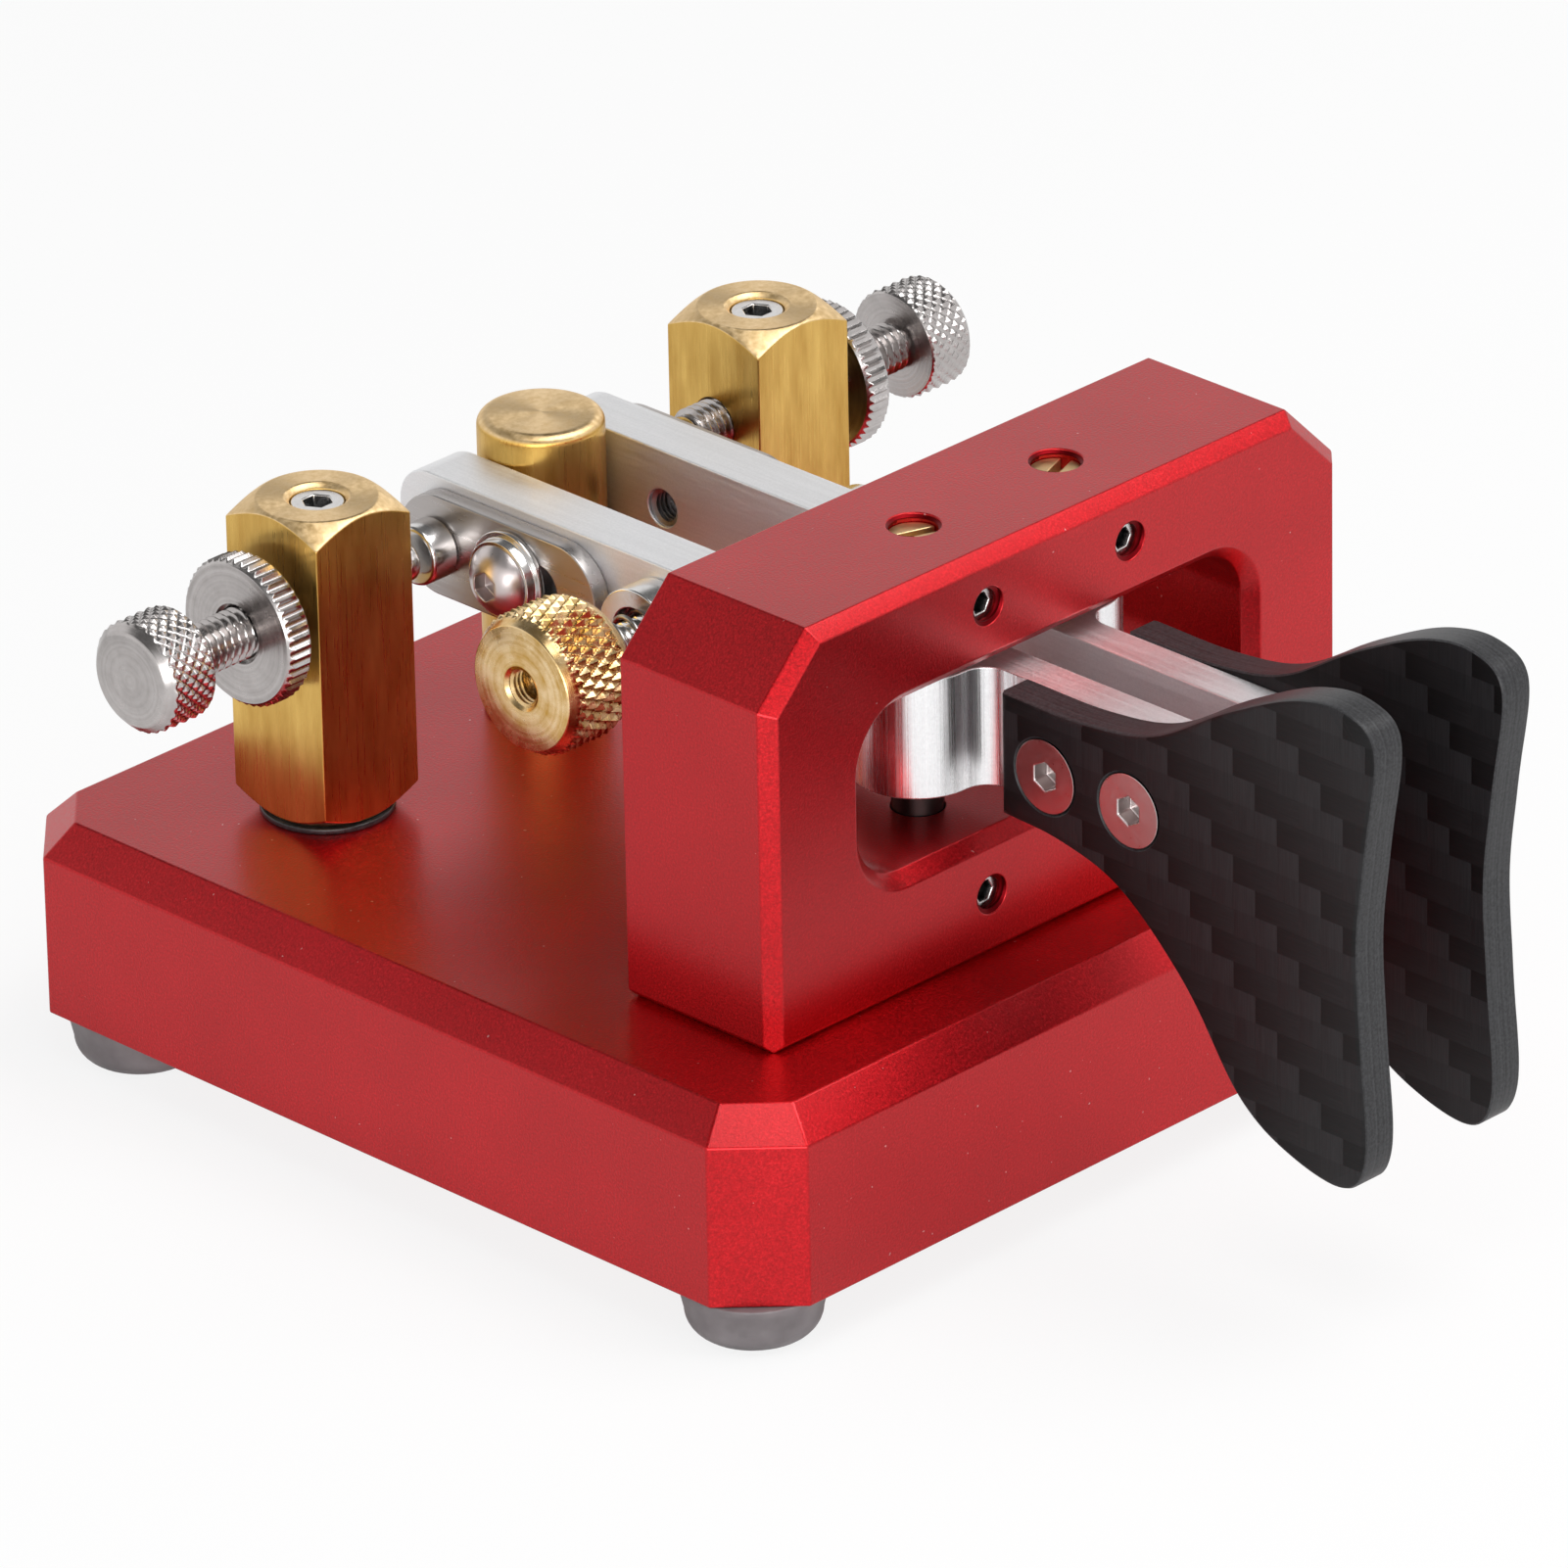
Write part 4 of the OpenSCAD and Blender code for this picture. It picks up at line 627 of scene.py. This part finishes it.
DRESSED_PER_SIDE = [
    ("lever", ALUMINIUM, 0.14), ("paddle_screws", HEAD_STEEL, 0.13), ("contact_plate", PLATE_STEEL, 0.14),
    ("contact_button", CONTACT, 0.3), ("plate_screw", HEAD_STEEL, 0.1), ("plate_washers", STEEL, 0.1),
    ("spring_cup", STEEL, 0.16), ("contact_post", POST_BRASS, 0.11), ("contact_tip", CONTACT, 0.15),
]


def dress_nodes():
    for node, material, edge in DRESSED:
        dressed_copy(node, material, edge)
    for side in SIDES:
        for part, material, edge in DRESSED_PER_SIDE:
            dressed_copy(f"{side}_{part}", material, edge)


# Paddles: a smooth outline with an outer bevel and countersunk holes
PADDLE_BEVEL, PADDLE_INNER_BREAK = 0.4, 0.12
PADDLE_STEPS = 5
SCREW_HOLE_RADIUS, HEAD_HOLE_RADIUS = 1.5, 3.06
HOLE_SIDES = 64
CORNER_ANGLE, RIM_ANGLE, PADDLE_SHARP_ANGLE = 40, 30, 30
RIM_MERGE_DISTANCE, RIM_TOLERANCE = 0.0005, 0.001
MITRE_LIMIT = 0.5


def outline_of(node, x):
    """The outer edge of a node's flat face at x, as points of Y and Z in order."""
    bm = bmesh.new()
    bm.from_mesh(NODES[node].data)
    bmesh.ops.remove_doubles(bm, verts=bm.verts, dist=RIM_MERGE_DISTANCE * MM)

    def on_face(vert):
        return abs(vert.co.x / MM - x) < RIM_TOLERANCE

    face_edges = [
        e for e in bm.edges
        if all(on_face(v) for v in e.verts) and e.calc_face_angle(0) > radians(RIM_ANGLE)
    ]
    neighbours = {}
    for e in face_edges:
        a, b = e.verts
        neighbours.setdefault(a, []).append(b)
        neighbours.setdefault(b, []).append(a)
    start = min(neighbours, key=lambda v: v.co.y)
    loop = [start, neighbours[start][0]]
    while True:
        ahead = [v for v in neighbours[loop[-1]] if v is not loop[-2]][0]
        if ahead is start:
            break
        loop.append(ahead)
    points = [Vector((v.co.y / MM, v.co.z / MM)) for v in loop]
    bm.free()
    area = sum(a.x * b.y - b.x * a.y for a, b in zip(points, points[1:] + points[:1]))
    return points if area > 0 else points[::-1]


def smooth_outline(points, steps):
    """A finer curve through the points that keeps the sharp corners."""
    count = len(points)

    def turn(i):
        before = points[i] - points[i - 1]
        after = points[(i + 1) % count] - points[i]
        return before.angle(after) > radians(CORNER_ANGLE)

    fine = []
    for i in range(count):
        a, b, c, d = (points[(i + k) % count] for k in (-1, 0, 1, 2))
        if turn(i):
            a = 2 * b - c
        if turn((i + 1) % count):
            d = 2 * c - b
        for j in range(steps):
            t = j / steps
            fine.append(0.5 * (
                2 * b + (c - a) * t + (2 * a - 5 * b + 4 * c - d) * t ** 2 + (3 * b - a - 3 * c + d) * t ** 3
            ))
    return fine


def inset(points, distance):
    """The outline moved inwards by a distance, with mitred corners."""
    moved = []
    count = len(points)
    for i in range(count):
        before = (points[i] - points[i - 1]).normalized()
        after = (points[(i + 1) % count] - points[i]).normalized()
        normal = Vector((-before.y - after.y, before.x + after.x)).normalized()
        lean = max(MITRE_LIMIT, normal.dot(Vector((-before.y, before.x))))
        moved.append(points[i] + normal * distance / lean)
    return moved


def paddle(side, sign):
    node = f"{side}_paddle"
    low, high = box_mm(node)
    inner, outer = (low.x, high.x) if sign > 0 else (high.x, low.x)
    thickness = abs(outer - inner)
    edge = smooth_outline(outline_of(node, outer), PADDLE_STEPS)
    screw_low, screw_high = box_mm(f"{side}_paddle_screws")
    head = (screw_high.z - screw_low.z) / 2
    holes = [Vector((y, (screw_low.z + screw_high.z) / 2)) for y in (screw_low.y + head, screw_high.y - head)]
    bm = bmesh.new()

    def ring(points, depth):
        x = inner + sign * depth
        return [bm.verts.new(Vector((x, p.x, p.y)) * MM) for p in points]

    def circle(centre, radius):
        angles = [2 * pi * k / HOLE_SIDES for k in range(HOLE_SIDES)]
        return [centre + radius * Vector((cos(angle), sin(angle))) for angle in angles]

    def wall(a, b):
        for i in range(len(a)):
            n = (i + 1) % len(a)
            bm.faces.new((a[i], a[n], b[n], b[i]))

    def close(loops):
        edges = [bm.edges.get((r[i], r[(i + 1) % len(r)])) for r in loops for i in range(len(r))]
        bmesh.ops.triangle_fill(bm, use_beauty=True, use_dissolve=False, edges=edges)

    rounded = 0.3 * PADDLE_BEVEL
    chain = [
        (inset(edge, PADDLE_INNER_BREAK), 0), (edge, PADDLE_INNER_BREAK), (edge, thickness - PADDLE_BEVEL),
        (inset(edge, rounded), thickness - rounded), (inset(edge, PADDLE_BEVEL), thickness),
    ]
    rings = [ring(points, depth) for points, depth in chain]
    for a, b in zip(rings, rings[1:]):
        wall(a, b)
    cone = HEAD_HOLE_RADIUS - SCREW_HOLE_RADIUS
    sinks = []
    for centre in holes:
        narrow, wide = circle(centre, SCREW_HOLE_RADIUS), circle(centre, HEAD_HOLE_RADIUS)
        sink = [ring(narrow, 0), ring(narrow, thickness - cone), ring(wide, thickness)]
        for a, b in zip(sink, sink[1:]):
            wall(a, b)
        sinks.append(sink)
    close([rings[0]] + [s[0] for s in sinks])
    close([rings[-1]] + [s[-1] for s in sinks])
    bmesh.ops.recalc_face_normals(bm, faces=bm.faces)
    mesh = bpy.data.meshes.new(node + "_finished")
    bm.to_mesh(mesh)
    bm.free()
    shade(mesh, PADDLE_SHARP_ANGLE)
    obj = bpy.data.objects.new(node + "_finished", mesh)
    bpy.context.scene.collection.objects.link(obj)
    soften_normals(obj)
    settle(obj, CARBON, node)


# Turned and threaded pieces
M4_PITCH, M4_DEPTH = 0.7, 0.43
M3_PITCH, M3_DEPTH = 0.5, 0.27
THREAD_ROWS = 10
THREAD_SIDES = 48


def thread_rows(start, end, radius, pitch, chamfer):
    """Rows of a threaded length, with both ends tapered."""
    rows = []
    for x in evenly(start, end, pitch / THREAD_ROWS):
        taper = max(0, chamfer - (x - start), chamfer - (end - x))
        share = 1 if taper == 0 else max(0, 1 - taper / chamfer)
        rows.append((x, radius - taper, share))
    return rows


def steel_turned(name, x):
    return turned_metal(name, (x, CONTACT_Y, LEVER_Z), "X", STEEL_DARK, STEEL_LIGHT, 0.18, 0.3, 0.36, 0.016)


def extent(node):
    """Nearest and farthest distance of a node from the middle plane, and its largest radius round X."""
    low, high = box_mm(node)
    near, far = sorted((abs(low.x), abs(high.x)))
    return near, far, (high.z - low.z) / 2


HEAD_TEETH, HEAD_PITCH, HEAD_KNURL = 28, 1.0, 0.23
HEAD_CHAMFER, HEAD_REAR_CHAMFER = 0.85, 0.3
HEAD_LENGTH, HEAD_LIP, HEAD_ROWS = 4.7, 0.1, 12
HEAD_FACE_RING = 0.4
THREAD_RUN_OUT = 0.02
SIDES_PER_TOOTH = 8
SCREW_RADIUS, SCREW_END_CHAMFER = 2.0, 0.35
STEM_RADIUS, STEM_HOLE_DEPTH = 0.95, 2.55


def contact_screw(side, sign):
    node = f"{side}_contact_screw"
    inner, outer, radius = extent(node)
    head = outer - HEAD_LENGTH
    knurl = diamond_knurl(HEAD_TEETH, HEAD_PITCH, HEAD_KNURL)
    screw = thread(M4_PITCH, M4_DEPTH)
    stem_hole = inner + STEM_HOLE_DEPTH
    rear_slope, front_slope = ((c, c) for c in (HEAD_REAR_CHAMFER, HEAD_CHAMFER))
    grip = chamfered(knurl, head, outer, rear_slope, front_slope)

    def relief(x, angle):
        return screw(x, angle) if x < head else grip(x, angle)

    rows = [(stem_hole, 0, 0), (stem_hole, STEM_RADIUS, 0), (inner, STEM_RADIUS, 0)]
    rows += thread_rows(inner, head - THREAD_RUN_OUT, SCREW_RADIUS, M4_PITCH, SCREW_END_CHAMFER)
    rows.append((head, SCREW_RADIUS - SCREW_END_CHAMFER, 0))
    rows += [(x, radius, 1) for x in evenly(head, outer - HEAD_LIP, HEAD_PITCH / HEAD_ROWS)]
    rows += [(outer, radius - HEAD_CHAMFER - HEAD_LIP, 0), (outer, HEAD_FACE_RING * radius, 0), (outer, 0, 0)]
    sides = HEAD_TEETH * SIDES_PER_TOOTH
    obj = turned(node + "_finished", rows, sides, sign, CONTACT_Y, LEVER_Z, relief)
    settle(obj, steel_turned(node + "_steel", sign * outer), node)


NUT_TEETH, NUT_KNURL, NUT_CHAMFER = 48, 0.28, 0.42
NUT_BORE, NUT_BORE_CHAMFER = 2.06, 0.3
NUT_ROW_STEP, SIDES_PER_NUT_TOOTH = 0.07, 10


def lock_nut(side, sign):
    node = f"{side}_lock_nut"
    inner, outer, radius = extent(node)
    slope = (NUT_CHAMFER, NUT_CHAMFER)
    knurl = chamfered(straight_knurl(NUT_TEETH, NUT_KNURL), inner, outer, slope, slope)
    mouth = NUT_BORE + NUT_BORE_CHAMFER
    rows = [(inner, mouth, 0)]
    rows += [(x, radius, 1) for x in evenly(inner, outer, NUT_ROW_STEP)]
    rows.append((outer, mouth, 0))
    rows += [(outer - NUT_BORE_CHAMFER, NUT_BORE, 0), (inner + NUT_BORE_CHAMFER, NUT_BORE, 0)]
    sides = NUT_TEETH * SIDES_PER_NUT_TOOTH
    obj = turned(node + "_finished", rows, sides, sign, CONTACT_Y, LEVER_Z, knurl, closed=True)
    settle(obj, steel_turned(node + "_steel", sign * outer), node)


TENSION_BORE, TENSION_BORE_CHAMFER = 1.5, 0.25
KNOB_TEETH, KNOB_PITCH, KNOB_KNURL = 37, 1.9, 0.42
KNOB_CHAMFER, KNOB_CHAMFER_LENGTH = 0.8, 1.3
KNOB_LIP, KNOB_LIP_DROP, KNOB_ROW_STEP = 0.05, 0.06, 0.11
KNOB_RIDGE = 0.22
TENSION_NUT_TEETH, TENSION_NUT_KNURL, TENSION_NUT_CHAMFER = 30, 0.15, 0.3


def on_tension_rod(node, sign, teeth, knurl, slope):
    """A knob or nut with its bore on the tension rod, and the same slope at both ends."""
    inner, outer, radius = extent(node)
    relief = chamfered(knurl, inner, outer, slope, slope)
    mouth = TENSION_BORE + TENSION_BORE_CHAMFER
    rows = [(inner, mouth, 0)]
    rows += [(x, radius, 1) for x in evenly(inner, outer - KNOB_LIP, KNOB_ROW_STEP)]
    rows += [(outer, radius - slope[1] - KNOB_LIP_DROP, 0), (outer, mouth, 0)]
    rows += [(outer - TENSION_BORE_CHAMFER, TENSION_BORE, 0), (inner + TENSION_BORE_CHAMFER, TENSION_BORE, 0)]
    sides = teeth * SIDES_PER_TOOTH
    obj = turned(node + "_finished", rows, sides, sign, TENSION_Y, LEVER_Z, relief, closed=True)
    face = (sign * outer, TENSION_Y, LEVER_Z)
    brass = turned_metal(node + "_brass", face, "X", BRASS_DARK, PALE_BRASS_LIGHT, 0.2, 0.32, 0.5, 0.012)
    settle(obj, brass, node)
    return brass


def tension_knob():
    node, sign = "left_tension_knob", SIDES["left"]
    knurl = diamond_knurl(KNOB_TEETH, KNOB_PITCH, KNOB_KNURL)
    brass = on_tension_rod(node, sign, KNOB_TEETH, knurl, (KNOB_CHAMFER_LENGTH, KNOB_CHAMFER))
    outer = extent(node)[1]
    mouth = Vector((sign * outer, TENSION_Y, LEVER_Z))
    open_length = outer - extent("tension_rod")[1]
    hole_thread(
        node + "_thread", mouth, (-sign, 0, 0), TENSION_BORE, M3_PITCH, KNOB_RIDGE, open_length, node, brass
    )


def tension_nut():
    knurl = straight_knurl(TENSION_NUT_TEETH, TENSION_NUT_KNURL)
    slope = (TENSION_NUT_CHAMFER, TENSION_NUT_CHAMFER)
    on_tension_rod("right_tension_knob", SIDES["right"], TENSION_NUT_TEETH, knurl, slope)


ROD_END_CHAMFER = 0.3


def tension_rod():
    outer, radius = extent("tension_rod")[1:]
    rows = thread_rows(-outer, outer, radius, M3_PITCH, ROD_END_CHAMFER)
    rows = [(-outer, 0, 0)] + rows + [(outer, 0, 0)]
    relief = thread(M3_PITCH, M3_DEPTH)
    obj = turned("tension_rod_finished", rows, THREAD_SIDES, 1, TENSION_Y, LEVER_Z, relief)
    settle(obj, STEEL, "tension_rod")


STOP_ROUND, STOP_FOOT_CHAMFER = 0.9, 0.2
STOP_HOLE, STOP_HOLE_DEPTH = 2.05, 8
STOP_ROUND_STEPS, STOP_SIDES = 8, 96


def stop_post():
    low, high = box_mm("stop_post")
    centre = (low + high) / 2
    radius = (high.x - low.x) / 2
    hole_end = low.z + STOP_HOLE_DEPTH
    profile = [
        (0, hole_end), (STOP_HOLE, hole_end), (STOP_HOLE, low.z),
        (radius - STOP_FOOT_CHAMFER, low.z), (radius, low.z + STOP_FOOT_CHAMFER),
    ]
    for k in range(STOP_ROUND_STEPS + 1):
        angle = pi / 2 * k / STOP_ROUND_STEPS
        profile.append((radius - STOP_ROUND * (1 - cos(angle)), high.z - STOP_ROUND * (1 - sin(angle))))
    profile += [(0.5 * radius, high.z), (0, high.z)]
    rows = [(z, r, 0) for r, z in profile]
    obj = turned("stop_post_finished", rows, STOP_SIDES, 1, 0, 0)
    stand = Matrix.Rotation(radians(-90), 4, "Y")
    obj.data.transform(Matrix.Translation(Vector((centre.x, centre.y, 0)) * MM) @ stand)
    settle(obj, POST_BRASS, "stop_post")


SPRING_CURLS = 5.5
SPRING_STEPS = 32
SPRING_WIRE_RADIUS = 0.2
SPRING_CLOSED_SHARE = 0.15


def tension_spring(side, sign):
    node = f"{side}_tension_spring"
    inner, outer, radius = extent(node)
    coil = radius - SPRING_WIRE_RADIUS
    start, end = inner + SPRING_WIRE_RADIUS, outer - SPRING_WIRE_RADIUS
    count = int(SPRING_CURLS * SPRING_STEPS)
    path = []
    for i in range(count + 1):
        angle = 2 * pi * i / SPRING_STEPS
        share = (1 + 2 * SPRING_CLOSED_SHARE) * i / count - SPRING_CLOSED_SHARE
        x = start + (end - start) * min(1, max(0, share))
        path.append(Vector((sign * x, TENSION_Y + coil * cos(angle), LEVER_Z + coil * sin(angle))))
    obj = tube(node + "_finished", path, SPRING_WIRE_RADIUS)
    settle(obj, MUSIC_WIRE, node)
    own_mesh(obj)


# Wires under the base, along the route of the model
WIRE_RADIUS = 0.6
WIRE_Z = BASE_LOW.z + 2.5
TAB_WIRE_Z = middle("jack_nut").z - 4.05
GROOVE_Y, WIRE_LANE = CONTACT_Y - 8, 0.8
WIRE_END_Y = BASE_HIGH.y - 15.5
POST_X = middle("right_contact_post").x
TAB_SPACING = 2.4


def tab_x(i):
    """Where one of the jack's three tabs is: left -1, middle 0, right 1."""
    return middle("jack_socket").x + TAB_SPACING * i


def side_wire(sign):
    """From a post's lug, along the groove and up to the tab of that side."""
    tab = tab_x(sign)
    return [
        (sign * POST_X, CONTACT_Y - 5.4, WIRE_Z), (sign * POST_X, GROOVE_Y + 1.8, WIRE_Z),
        (sign * (POST_X - 0.9), GROOVE_Y + 0.95, WIRE_Z),
        (sign * (POST_X - 2.5), GROOVE_Y + WIRE_LANE, WIRE_Z),
        (tab + sign * 2, GROOVE_Y + WIRE_LANE, WIRE_Z), (tab + sign * 0.7, GROOVE_Y + 1.4, WIRE_Z),
        (tab, GROOVE_Y + 2.8, WIRE_Z), (tab, WIRE_END_Y, TAB_WIRE_Z),
    ]


def common_wire():
    """From the tension post's lug, along the groove and up to the middle tab."""
    tab = tab_x(0)
    return [
        (0, TENSION_Y + 5, WIRE_Z), (0, GROOVE_Y - 2.5, WIRE_Z), (0.7, GROOVE_Y - 1.2, WIRE_Z),
        (2.2, GROOVE_Y - WIRE_LANE, WIRE_Z), (tab - 2, GROOVE_Y - WIRE_LANE, WIRE_Z),
        (tab - 0.6, GROOVE_Y, WIRE_Z), (tab, GROOVE_Y + 1.6, WIRE_Z), (tab, WIRE_END_Y, TAB_WIRE_Z),
    ]


def signal_wires():
    routes = {"left": side_wire(-1), "right": side_wire(1), "common": common_wire()}
    for name, route in routes.items():
        obj = tube(f"{name}_signal_wire", [Vector(p) for p in route], WIRE_RADIUS, 16)
        settle(obj, WIRE_SLEEVE, "signal_wires")


# Threads on the walls of the open holes, in darker materials that paint the shade inside the holes
PIVOT_HOLE, PIVOT_RECESS, PIVOT_RIDGE = 2.0, 0.7, 0.2
LOCK_HOLE, LOCK_RECESS, LOCK_RIDGE = 1.5, 0.8, 0.28
LEVER_HOLE, LEVER_HOLE_LENGTH, LEVER_RIDGE = 1.5, 2.4, 0.34
LEVER_HOLE_X = 4.85
LOCK_SCREW_RADIUS = 1.45


def open_hole_threads():
    lock_low, lock_high = box_mm("pivot_lock_screws")
    lock_heights = {"lower": lock_low.z + LOCK_SCREW_RADIUS, "upper": lock_high.z - LOCK_SCREW_RADIUS}
    for side, sign in SIDES.items():
        for level, z in lock_heights.items():
            hole_thread(
                f"{side}_{level}_lock_hole_thread", Vector((sign * PIVOT_X, FRAME_LOW.y, z)), (0, 1, 0),
                LOCK_HOLE, M3_PITCH, LOCK_RIDGE, LOCK_RECESS, "pivot_frame", SHADED_TAPPED_RED,
            )
        hole_thread(
            f"{side}_pivot_hole_thread", Vector((sign * PIVOT_X, PIVOT_Y, FRAME_HIGH.z)), (0, 0, -1),
            PIVOT_HOLE, M3_PITCH, PIVOT_RIDGE, PIVOT_RECESS, "pivot_frame", SHADED_TAPPED_RED,
        )
        plate_y = middle(f"{side}_plate_screw").y
        hole_thread(
            f"{side}_lever_hole_thread", Vector((sign * LEVER_HOLE_X, plate_y, LEVER_Z)), (sign, 0, 0),
            LEVER_HOLE, M3_PITCH, LEVER_RIDGE, LEVER_HOLE_LENGTH, f"{side}_lever", SHADED_TAPPED_ALUMINIUM,
        )


# Pieces
def make_pieces():
    dress_nodes()
    tension_rod()
    tension_knob()
    tension_nut()
    stop_post()
    signal_wires()
    open_hole_threads()
    for side, sign in SIDES.items():
        paddle(side, sign)
        contact_screw(side, sign)
        lock_nut(side, sign)
        tension_spring(side, sign)


make_pieces()


# Stage
def background_share(tree, camera_share, mirror_share):
    """Light Path factor: one share for camera rays, and one for reflections and what shows through glass."""
    rays = add(tree, "ShaderNodeLightPath")
    mirrored = maths(tree, "MAXIMUM", rays.outputs["Is Glossy Ray"], rays.outputs["Is Transmission Ray"])
    seen = maths(tree, "MULTIPLY", rays.outputs["Is Camera Ray"], camera_share)
    return maths(tree, "MAXIMUM", maths(tree, "MULTIPLY", mirrored, mirror_share), seen)


def blend_shaders(tree, factor, first, second, output):
    blend = add(tree, "ShaderNodeMixShader")
    tree.links.new(factor, blend.inputs[0])
    tree.links.new(first, blend.inputs[1])
    tree.links.new(second, blend.inputs[2])
    tree.links.new(blend.outputs[0], tree.nodes[output].inputs["Surface"])


FLOOR_HALF = 900
FLOOR_SEEN_SHARE, FLOOR_MIRROR_SHARE = 0.85, 0.3
AMBIENT_STRENGTH = 0.42


def add_floor():
    points = [(x * FLOOR_HALF, y * FLOOR_HALF, 0) for x, y in ((-1, -1), (1, -1), (1, 1), (-1, 1))]
    obj = object_from("floor", points, [[0, 1, 2, 3]])
    material, tree, shader = new_material("floor", {"Base Color": (0.8, 0.8, 0.8, 1), "Roughness": 0.9})
    glow = add(tree, "ShaderNodeEmission")
    glow.inputs["Color"].default_value = (1, 1, 1, 1)
    glow.inputs["Strength"].default_value = 1
    share = background_share(tree, FLOOR_SEEN_SHARE, FLOOR_MIRROR_SHARE)
    blend_shaders(tree, share, shader.outputs[0], glow.outputs[0], "Material Output")
    obj.data.materials.append(material)


def add_world():
    sky = bpy.data.worlds.new("studio")
    bpy.context.scene.world = sky
    sky.use_nodes = True
    tree = sky.node_tree
    ambient = tree.nodes["Background"]
    ambient.inputs["Color"].default_value = (1, 1, 1, 1)
    ambient.inputs["Strength"].default_value = AMBIENT_STRENGTH
    seen = add(tree, "ShaderNodeBackground")
    seen.inputs["Strength"].default_value = 1
    direction = add(tree, "ShaderNodeSeparateXYZ")
    tree.links.new(add(tree, "ShaderNodeTexCoord").outputs["Generated"], direction.inputs[0])
    backdrop = colours(tree, direction.outputs["Z"], (0.55, 1, 1, 1), (0.63, 0.14, 0.14, 0.14))
    tree.links.new(backdrop, seen.inputs["Color"])
    share = background_share(tree, 1, 1)
    blend_shaders(tree, share, ambient.outputs[0], seen.outputs[0], "World Output")


# Lamps: the name, place, size and watts
LAMP_TARGET = Vector((0, 10, 20))
LAMPS = [
    ("key", (150, -200, 560), (420, 420), 2.6), ("fill", (-470, -480, 130), (640, 300), 2.8),
    ("top", (-200, -200, 580), (200, 200), 0.5),
]


def add_lamp(name, place, size, watts):
    lamp = bpy.data.lights.new(name, "AREA")
    lamp.shape = "RECTANGLE"
    lamp.size, lamp.size_y = (s * MM for s in size)
    lamp.energy = watts
    obj = bpy.data.objects.new(name, lamp)
    obj.location = Vector(place) * MM
    aim = LAMP_TARGET - Vector(place)
    obj.rotation_euler = aim.to_track_quat("-Z", "Y").to_euler()
    bpy.context.scene.collection.objects.link(obj)


# The camera stands where the photograph was taken from. Its target is measured from the middle of the base's
# upper front edge
LENS = 336.233
CAMERA_TARGET = Vector((-15.212, 21.282, 12.086))
CAMERA_DISTANCE = 1056.382
CAMERA_AZIMUTH, CAMERA_ELEVATION, CAMERA_ROLL = -45.104, 26.069, -1.11


def add_camera():
    lens = bpy.data.cameras.new("camera")
    lens.lens = LENS
    lens.sensor_width = 36
    lens.clip_start = 0.01
    obj = bpy.data.objects.new("camera", lens)
    bpy.context.scene.collection.objects.link(obj)
    bpy.context.scene.camera = obj
    a, e, r = (radians(v) for v in (CAMERA_AZIMUTH, CAMERA_ELEVATION, CAMERA_ROLL))
    back = Vector((sin(a) * cos(e), -cos(a) * cos(e), sin(e)))
    level = Vector((cos(a), sin(a), 0))
    rise = back.cross(level)
    right = cos(r) * level + sin(r) * rise
    up = cos(r) * rise - sin(r) * level
    origin = Vector((0, BASE_LOW.y, BASE_HIGH.z))
    place = origin + CAMERA_TARGET + CAMERA_DISTANCE * back
    turn = Matrix((right, up, back)).transposed().to_4x4()
    obj.matrix_world = Matrix.Translation(place * MM) @ turn


add_floor()
add_world()
for lamp in LAMPS:
    add_lamp(*lamp)
add_camera()
bpy.context.scene.view_settings.view_transform = "Standard"
